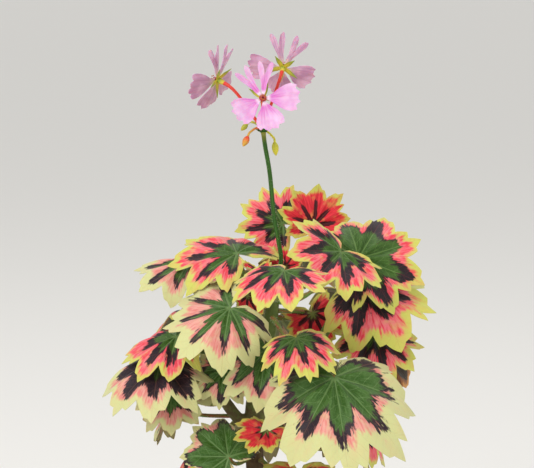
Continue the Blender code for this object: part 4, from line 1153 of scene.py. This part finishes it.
draw = random.Random(77)
tip, way = along_curve(BRANCHES["trunk"].points, 1.0)
stalk_row = [tip + way * STALK_STRAIGHT, *STALK_POINTS, KNOB]
points = [tip, *[along_curve(stalk_row, k / STALK_STEPS)[0] for k in range(STALK_STEPS + 1)]]
radii = []
for point in points:
    near = max(0.0, 1 - (point - KNOB).length / SWELLING_REACH)
    radii.append(STALK_RADIUS * (1 + STALK_SWELLING * near * near))
stalk_parts = [stalk_part(points, radii, 16, green_stalk, ridges=5, ridge_depth=0.04)]
stalk_parts.append(down_part(points, radii, draw))
points, radii = [], []
for k in range(KNOB_ROWS + 1):
    height = KNOB_RADIUS * 0.98 * math.cos(math.pi * (1 - k / KNOB_ROWS))
    points.append(KNOB + Vector((0, 0, height)))
    radii.append(max(0.15, KNOB_RADIUS * math.sin(math.pi * k / KNOB_ROWS)))
stalk_parts.append(stalk_part(points, radii, 20, green_stalk, ridges=7, ridge_depth=0.06))
for number in range(SCALES):
    turn = math.tau * (number + 0.3) / SCALES
    out = Vector((math.cos(turn), math.sin(turn), 0.0))
    foot = KNOB + out * KNOB_RADIUS * SCALE_FOOT + SCALE_DROP
    rises = [Vector((0, 0, 0.3 * k - 0.04 * k * k)) for k in range(len(SCALE_RADII))]
    rows = [foot + out * SCALE_STEP * k + rise for k, rise in enumerate(rises)]
    stalk_parts.append(stalk_part(rows, SCALE_RADII, 8, green_stalk, seed=number))
make_piece("flower_stalk_green", stalk_parts, "flower_stalk")


# Flowers. Each has five thin silky petals, the two upper ones narrow and forked and the three
# lower ones broad with toothed ends, pink with a deeper flush and veins towards the throat.
#
# A petal's angle round the flower and its spread to each side are in degrees and its length in mm.
# The sides give its spread at shares of its length, and the tips its end across half its width.
Petal = namedtuple("Petal", "angle length spread forked")
PETALS = (
    Petal(-22, 18.0, 13, True),
    Petal(22, 18.0, 13, True),
    Petal(106, 18.5, 26, False),
    Petal(180, 17.0, 29, False),
    Petal(254, 17.0, 28, False),
)
TOOTHED_SIDES = ((0.30, 1.0), (0.50, 1.18), (0.70, 1.14), (0.86, 1.0))
TOOTHED_TIP = ((0.0, 0.93), (0.30, 1.0), (0.52, 0.90), (0.78, 0.96), (1.0, 0.86))
FORKED_SIDES = ((0.38, 0.92), (0.66, 1.08), (0.86, 1.12))
FORKED_TIP = ((0.0, 0.60), (0.20, 0.80), (0.42, 0.95), (0.70, 1.0), (0.88, 0.96), (1.0, 0.84))
PETAL_THICKNESS = 0.28
PETAL_THINNING = 0.5
PETAL_BOWL = 0.14
PETAL_KEEL = 0.45
PETAL_CUPS = (-0.6, 0.9)
RUFFLE = 0.45
RUFFLE_TURN = 5
SMALL_RUFFLE = 0.2
SMALL_RUFFLE_TURN = 13
SMALL_TEETH = 0.012
SMALL_TEETH_TURN = 24
THROAT_RADIUS = 1.5
CLAW_HALF_ANGLE = 20
PETAL_COLUMNS = 32
PETAL_ROWS = 16
Flower = namedtuple("Flower", "name x y z azimuth tilt roll")
FLOWERS = (
    Flower("front", -2, -15, 317, -88, 12, -17),
    Flower("left", -25, 3, 325, 145, 20, 0),
    Flower("right", 8, 5, 331, 82, 25, -14),
)


def petal_material(name, face):
    """Petal skin: thin and silky, so light glows through it, and the eye sees fine veins that run
    out from the throat, brighter on the face and washed out on the back."""
    made, tree, shader = new_material(
        name, Roughness=0.5, Subsurface_Weight=0.3, Subsurface_Scale=0.5 * MM, Sheen_Weight=0.15,
    )
    mark = add(tree, "Attribute", attribute_name="ray")
    reach = add(tree, "SeparateXYZ", mark).node.outputs["Y"]
    veins = streaks(tree, mark, (5.5, 0.05), 4.0)
    cloud = streaks(tree, mark, (1.0, 0.16), 3.0)
    cloud = add(tree, "MapRange SMOOTHSTEP", cloud, 0.35, 0.65)
    if face:
        colour = add(tree, "Mix RGBA", cloud, linear("dc9fd0"), linear("e6bfdf"))
        inner = add(tree, "MapRange SMOOTHSTEP", reach, 4.0, 13.0, 1.0, 0.0)
        between = add(tree, "MapRange SMOOTHSTEP", veins, 0.36, 0.58, 0.35, 1.0)
        flush = add(tree, "Math MULTIPLY", inner, between)
        inner = add(tree, "MapRange SMOOTHSTEP", reach, 6.0, 16.0, 1.0, 0.2)
        veined = add(tree, "MapRange SMOOTHSTEP", veins, 0.55, 0.68, 0.0, 0.5)
        lines = add(tree, "Math MULTIPLY", veined, inner)
        white = add(tree, "MapRange SMOOTHSTEP", reach, 2.6, 4.6, 0.8, 0.0)
        throat = add(tree, "MapRange SMOOTHSTEP", reach, 1.2, 2.6, 1.0, 0.0)
        layers = ((flush, "d96cc6"), (lines, "c858ae"), (white, "f4e2ee"), (throat, "b0262a"))
    else:
        colour = add(tree, "Mix RGBA", cloud, linear("b988a8"), linear("d5adc6"))
        lines = add(tree, "MapRange SMOOTHSTEP", veins, 0.52, 0.7, 0.0, 0.55)
        white = add(tree, "MapRange SMOOTHSTEP", reach, 2.0, 7.0, 0.8, 0.0)
        layers = ((lines, "a06a90"), (white, "efe0dc"))
    for amount, code in layers:
        colour = add(tree, "Mix RGBA", amount, colour, linear(code))
    surface(tree, shader, colour, 0.35, 0.12, veins)
    return made


PETAL_FACE = petal_material("silky_petal_face", True)
PETAL_BACK = petal_material("silky_petal_back", False)


def flower_axes(flower):
    """The flower's three directions: to its right and up as it is looked at, and where it faces."""
    azimuth, tilt, roll = (math.radians(a) for a in (flower.azimuth, flower.tilt, flower.roll))
    flat = math.cos(tilt)
    facing = Vector((flat * math.cos(azimuth), flat * math.sin(azimuth), math.sin(tilt)))
    right = Vector((0, 0, 1)).cross(facing).normalized()
    up = facing.cross(right)
    return (
        right * math.cos(roll) - up * math.sin(roll),
        up * math.cos(roll) + right * math.sin(roll),
        facing,
    )


def flower_point(flower, axes, angle, reach, height):
    """A point of the flower, at an angle round it in degrees and millimetres out and forward."""
    right, up, facing = axes
    turn = math.radians(angle)
    out = right * math.sin(turn) + up * math.cos(turn)
    return Vector((flower.x, flower.y, flower.z)) + out * reach + facing * height


def grid_shell(rows, columns):
    """A thin shell's faces on its front, on its back and round its rim, over a grid of points that
    is given row by row."""
    def at(row, column):
        return row * columns + column

    front = []
    for r in range(rows - 1):
        for c in range(columns - 1):
            front.append((at(r, c), at(r, c + 1), at(r + 1, c + 1), at(r + 1, c)))
    border = [at(r, 0) for r in range(rows)]
    border += [at(rows - 1, c) for c in range(1, columns)]
    border += [at(r, columns - 1) for r in reversed(range(rows - 1))]
    border += [at(0, c) for c in reversed(range(columns - 1))]
    return front, *thin_shell(front, border, rows * columns)


def petal_part(flower, axes, petal, number, draw):
    """One petal: bowed forward, keeled along its middle and ruffled towards its end."""
    tip = FORKED_TIP if petal.forked else TOOTHED_TIP
    sides = FORKED_SIDES if petal.forked else TOOTHED_SIDES
    side_reach = [THROAT_RADIUS / petal.length, *[share for share, _ in sides]]
    side_spread = [CLAW_HALF_ANGLE / petal.spread, *[spread for _, spread in sides]]
    phase = draw.uniform(0, math.tau)
    cup = draw.uniform(*PETAL_CUPS)
    places, marks = [], []
    for side in (0, 1):
        for column in range(PETAL_COLUMNS + 1):
            over = 2 * column / PETAL_COLUMNS - 1
            end = np.interp(abs(over), *zip(*tip))
            if not petal.forked:
                end -= SMALL_TEETH * (1 + math.cos(over * SMALL_TEETH_TURN + phase))
            for row in range(PETAL_ROWS + 1):
                share = row / PETAL_ROWS
                reach = THROAT_RADIUS + (petal.length * end - THROAT_RADIUS) * share
                spread = petal.spread * np.interp(reach / petal.length, side_reach, side_spread)
                height = PETAL_BOWL * reach * reach / petal.length
                height += RUFFLE * share**3 * math.sin(over * RUFFLE_TURN + phase)
                wave = math.sin(over * SMALL_RUFFLE_TURN + 2 * phase)
                height += SMALL_RUFFLE * share**4 * wave
                height -= PETAL_KEEL * (1 - abs(over)) * math.sin(math.pi * min(1.0, share * 1.1))
                height += cup * share**3 * over * over
                height -= side * PETAL_THICKNESS * (1 - PETAL_THINNING * share)
                angle = petal.angle + over * spread
                places.append(flower_point(flower, axes, angle, reach, height))
                marks.append((over, reach, number + flower.x))
    front, back, rim = grid_shell(PETAL_COLUMNS + 1, PETAL_ROWS + 1)
    finishes = [PETAL_FACE] * len(front) + [PETAL_BACK] * len(back) + [PETAL_FACE] * len(rim)
    return Part(places, front + back + rim, finishes, {"ray": marks})


# Pollen: dusty and dull, so the eye sees small orange-brown grains on the tips of the stamens
POLLEN_GRAIN = 0.3
anther, tree, shader = new_material("dusty_pollen", Roughness=0.7)
place = add(tree, "TexCoord").node.outputs["Object"]
grain = add(tree, "TexNoise", place, per_mm(POLLEN_GRAIN), 3.0)
colour = add(tree, "Mix RGBA", grain, linear("8a3a1c"), linear("d98a3a"))
tree.links.new(colour, shader.inputs["Base Color"])

STAMENS = 7
STAMEN_LENGTHS = (2.2, 3.4)
STAMEN_TURNS = (-12, 12)
STAMEN_FOOT = 0.35
STAMEN_SPREAD = 0.18
STAMEN_RADII = (0.18, 0.16, 0.14, 0.12, 0.1)
ANTHER_RADII = (0.1, 0.28, 0.34, 0.28, 0.1)
ANTHER_STEP = 0.21
THROAT_HEIGHTS = (-0.3, 0.0, 0.12)
THROAT_RADII = (1.9, 1.75, 1.2)
for flower in FLOWERS:
    draw = random.Random(500 + len(flower.name) + int(flower.z))
    axes = flower_axes(flower)
    parts = [petal_part(flower, axes, petal, number, draw) for number, petal in enumerate(PETALS)]
    row = [flower_point(flower, axes, 0, 0, height) for height in THROAT_HEIGHTS]
    parts.append(stalk_part(row, THROAT_RADII, 20, PETAL_FACE))
    for number in range(STAMENS):
        angle = 360 * number / STAMENS + draw.uniform(*STAMEN_TURNS)
        length = draw.uniform(*STAMEN_LENGTHS)
        outs = [STAMEN_FOOT + STAMEN_SPREAD * k for k in range(5)]
        row = [flower_point(flower, axes, angle, out, length * k / 4) for k, out in enumerate(outs)]
        parts.append(stalk_part(row, STAMEN_RADII, 6, PETAL_FACE, seed=number))
        row = [row[-1] + axes[0] * ANTHER_STEP * (k - 2) for k in range(5)]
        parts.append(stalk_part(row, ANTHER_RADII, 8, anther))
    make_piece("petals_" + flower.name, parts, "corolla_" + flower.name)


# Calyces and their stalks. Behind each flower five narrow pointed sepals bend back from a short
# tube, all one downy piece, on a thin orange-red stalk that grows from the knob.
SEPALS = 5
SEPAL_LENGTH = 8.5
SEPAL_HALF_WIDTH = 1.1
SEPAL_BACK = 0.3
SEPAL_BENDS = (0.0, 0.05)
SEPAL_CHANNEL = 0.18
SEPAL_THICKNESS = 0.4
SEPAL_THINNING = 0.6
SEPAL_FOOT = 0.6
SEPAL_ROWS = 12
SEPAL_COLUMNS = (-1.0, -0.5, 0.0, 0.5, 1.0)
SEPAL_WIDTHS = (0.75, 0.85, 0.95, 1.0, 1.0, 0.92, 0.78, 0.6, 0.4, 0.22, 0.08)
CALYX_TUBE_RADIUS = 1.4
CALYX_TUBE_RADII = (0.9, 1.15, CALYX_TUBE_RADIUS, CALYX_TUBE_RADIUS, 1.1)
CALYX_TUBE_LENGTH = 4.0
CALYX_TUBE_ROWS = 8
CALYX_FRONT = -1.05
PEDICEL_RADIUS = 0.75
PEDICEL_STEPS = 20
PEDICEL_LEAVE_SHARE = 0.4
PEDICEL_ARRIVE_SHARE = 0.35
PEDICEL_TOP_SWELLING = 0.35
PEDICEL_FOOT_SWELLING = 0.25


def sepal_material(name, base, tip, ribs):
    """Sepal skin: firm, ribbed and downy, so the eye sees a soft shine and a colour that changes
    from foot to tip, with darker ribs."""
    made, tree, shader = new_material(
        name, Roughness=0.55, Subsurface_Weight=0.2, Subsurface_Scale=0.8 * MM,
    )
    mark = add(tree, "Attribute", attribute_name="ray")
    share = add(tree, "SeparateXYZ", mark).node.outputs["Z"]
    rib = streaks(tree, mark, (2.2, 0.08), 3.0)
    wander = add(tree, "Math MULTIPLY_ADD", rib, 0.5, -0.25)
    towards_tip = add(tree, "MapRange SMOOTHSTEP", add(tree, "Math ADD", share, wander), 0.1, 0.75)
    colour = add(tree, "Mix RGBA", towards_tip, linear(base), linear(tip))
    ribbed = add(tree, "MapRange SMOOTHSTEP", rib, 0.5, 0.72, 0.0, 0.55)
    colour = add(tree, "Mix RGBA", ribbed, colour, linear(ribs))
    surface(tree, shader, colour, 0.45, 0.15, rib)
    return made


SEPAL = sepal_material("downy_sepal", "d6c23c", "93a436", "6f8a2c")
RED_STALK = sepal_material("red_flower_stalk", "e8452c", "e03a2a", "c9301f")


def sepal_part(flower, axes, angle, draw):
    """One sepal: a narrow channelled blade, pointed, that bends back."""
    right, up, facing = axes
    turn = math.radians(angle)
    across = right * math.cos(turn) - up * math.sin(turn)
    bend = draw.uniform(*SEPAL_BENDS)
    foot = CALYX_TUBE_RADIUS * SEPAL_FOOT
    places, marks = [], []
    for side in (0, 1):
        for row in range(SEPAL_ROWS + 1):
            share = row / SEPAL_ROWS
            reach = foot + (SEPAL_LENGTH - foot) * share
            width = SEPAL_HALF_WIDTH * mixed(SEPAL_WIDTHS, share)
            back = SEPAL_BACK * max(0.0, reach - CALYX_TUBE_RADIUS) + bend * reach * share
            back += side * SEPAL_THICKNESS * (1 - SEPAL_THINNING * share)
            for column in SEPAL_COLUMNS:
                height = CALYX_FRONT - back + SEPAL_CHANNEL * column * column * width
                point = flower_point(flower, axes, angle, reach, height)
                places.append(point + across * column * width)
                marks.append((column, reach, share))
    faces = sum(grid_shell(SEPAL_ROWS + 1, len(SEPAL_COLUMNS)), [])
    return Part(places, faces, [SEPAL] * len(faces), {"ray": marks})


for flower in FLOWERS:
    draw = random.Random(900 + int(flower.z))
    axes = flower_axes(flower)
    parts = [sepal_part(flower, axes, 360 * (k + 0.5) / SEPALS, draw) for k in range(SEPALS)]
    row, radii = [], []
    for k in range(CALYX_TUBE_ROWS + 1):
        share = k / CALYX_TUBE_ROWS
        row.append(flower_point(flower, axes, 0, 0, CALYX_FRONT - CALYX_TUBE_LENGTH * (1 - share)))
        radii.append(mixed(CALYX_TUBE_RADII, share))
    parts.append(stalk_part(row, radii, 16, SEPAL, ridges=5, ridge_depth=0.05))
    parts.append(down_part(row, radii, draw, spacing=0.4, length=0.7))
    make_piece("sepals_" + flower.name, parts, "calyx_" + flower.name)

    end = row[0]
    out = (end - KNOB).normalized()
    start = KNOB + out * KNOB_RADIUS * KNOB_SOCKET
    span = (end - start).length
    handles = (
        start, start + out * span * PEDICEL_LEAVE_SHARE,
        end - axes[2] * span * PEDICEL_ARRIVE_SHARE, end,
    )
    points = bezier(handles, PEDICEL_STEPS)
    radii = []
    for k in range(len(points)):
        share = k / PEDICEL_STEPS
        swell = 1 + PEDICEL_TOP_SWELLING * share**6 + PEDICEL_FOOT_SWELLING * (1 - share) ** 8
        radii.append(PEDICEL_RADIUS * swell)
    parts = [
        stalk_part(points, radii, 10, RED_STALK),
        down_part(points, radii, draw, spacing=0.45, length=0.7),
    ]
    make_piece("flower_stalk_" + flower.name, parts, "pedicel_" + flower.name)


# Buds. Three small closed buds hang from the same knob on thin bent stalks of their own, ribbed
# and downy like the sepals that wrap them, and coloured by how near each is to opening.
Bud = namedtuple("Bud", "points half_length radius finish")
BUD_STALK_RADIUS = 0.55
BUD_STALK_STEPS = 14
BUD_ON_STALK = 0.8
BUD_ROWS = 14
RED_BUD = sepal_material("red_bud", "e84a2c", "d8a63a", "c0402a")
GREEN_BUD = sepal_material("green_bud", "a9ad38", "c2b83c", "7d8f2c")
YELLOW_BUD = sepal_material("yellow_bud", "c9c33a", "e0d740", "9aa432")
BUDS = (
    Bud(((-5.5, -6.0, 301.5), (-8.5, -8.0, 299.5), (-9.5, -8.5, 297.5)), 3.0, 1.6, RED_BUD),
    Bud(((-6.0, 1.0, 303.5), (-8.5, 2.0, 304.0), (-10, 2.5, 302.5)), 2.4, 1.3, GREEN_BUD),
    Bud(((1.5, 2.0, 298.0), (3.6, 2.8, 295.5), (3.8, 2.6, 293.5)), 3.6, 1.7, YELLOW_BUD),
)
for number, bud in enumerate(BUDS, 1):
    draw = random.Random(40 + number)
    points = [Vector(p) for p in bud.points]
    out = (points[0] - KNOB).normalized()
    points = [KNOB + out * KNOB_RADIUS * KNOB_SOCKET, *points]
    way = (points[-1] - points[-2]).normalized()
    middle = points[-1] + way * bud.half_length * BUD_ON_STALK
    row = [along_curve(points, k / BUD_STALK_STEPS)[0] for k in range(BUD_STALK_STEPS + 1)]
    radii = [BUD_STALK_RADIUS] * len(row)
    parts = [
        stalk_part(row, radii, 8, bud.finish),
        down_part(row, radii, draw, spacing=0.45, length=0.6),
    ]
    row, radii = [], []
    for k in range(BUD_ROWS + 1):
        share = k / BUD_ROWS
        row.append(middle + way * bud.half_length * (2 * share - 1))
        radii.append(max(0.06, bud.radius * math.sin(math.pi * share**0.85) ** 0.75))
    parts.append(stalk_part(row, radii, 20, bud.finish, ridges=5, ridge_depth=0.07, seed=number))
    parts.append(down_part(row, radii, draw, spacing=0.35, length=0.6))
    make_piece(f"flower_bud_{number}", parts, f"bud_{number}")
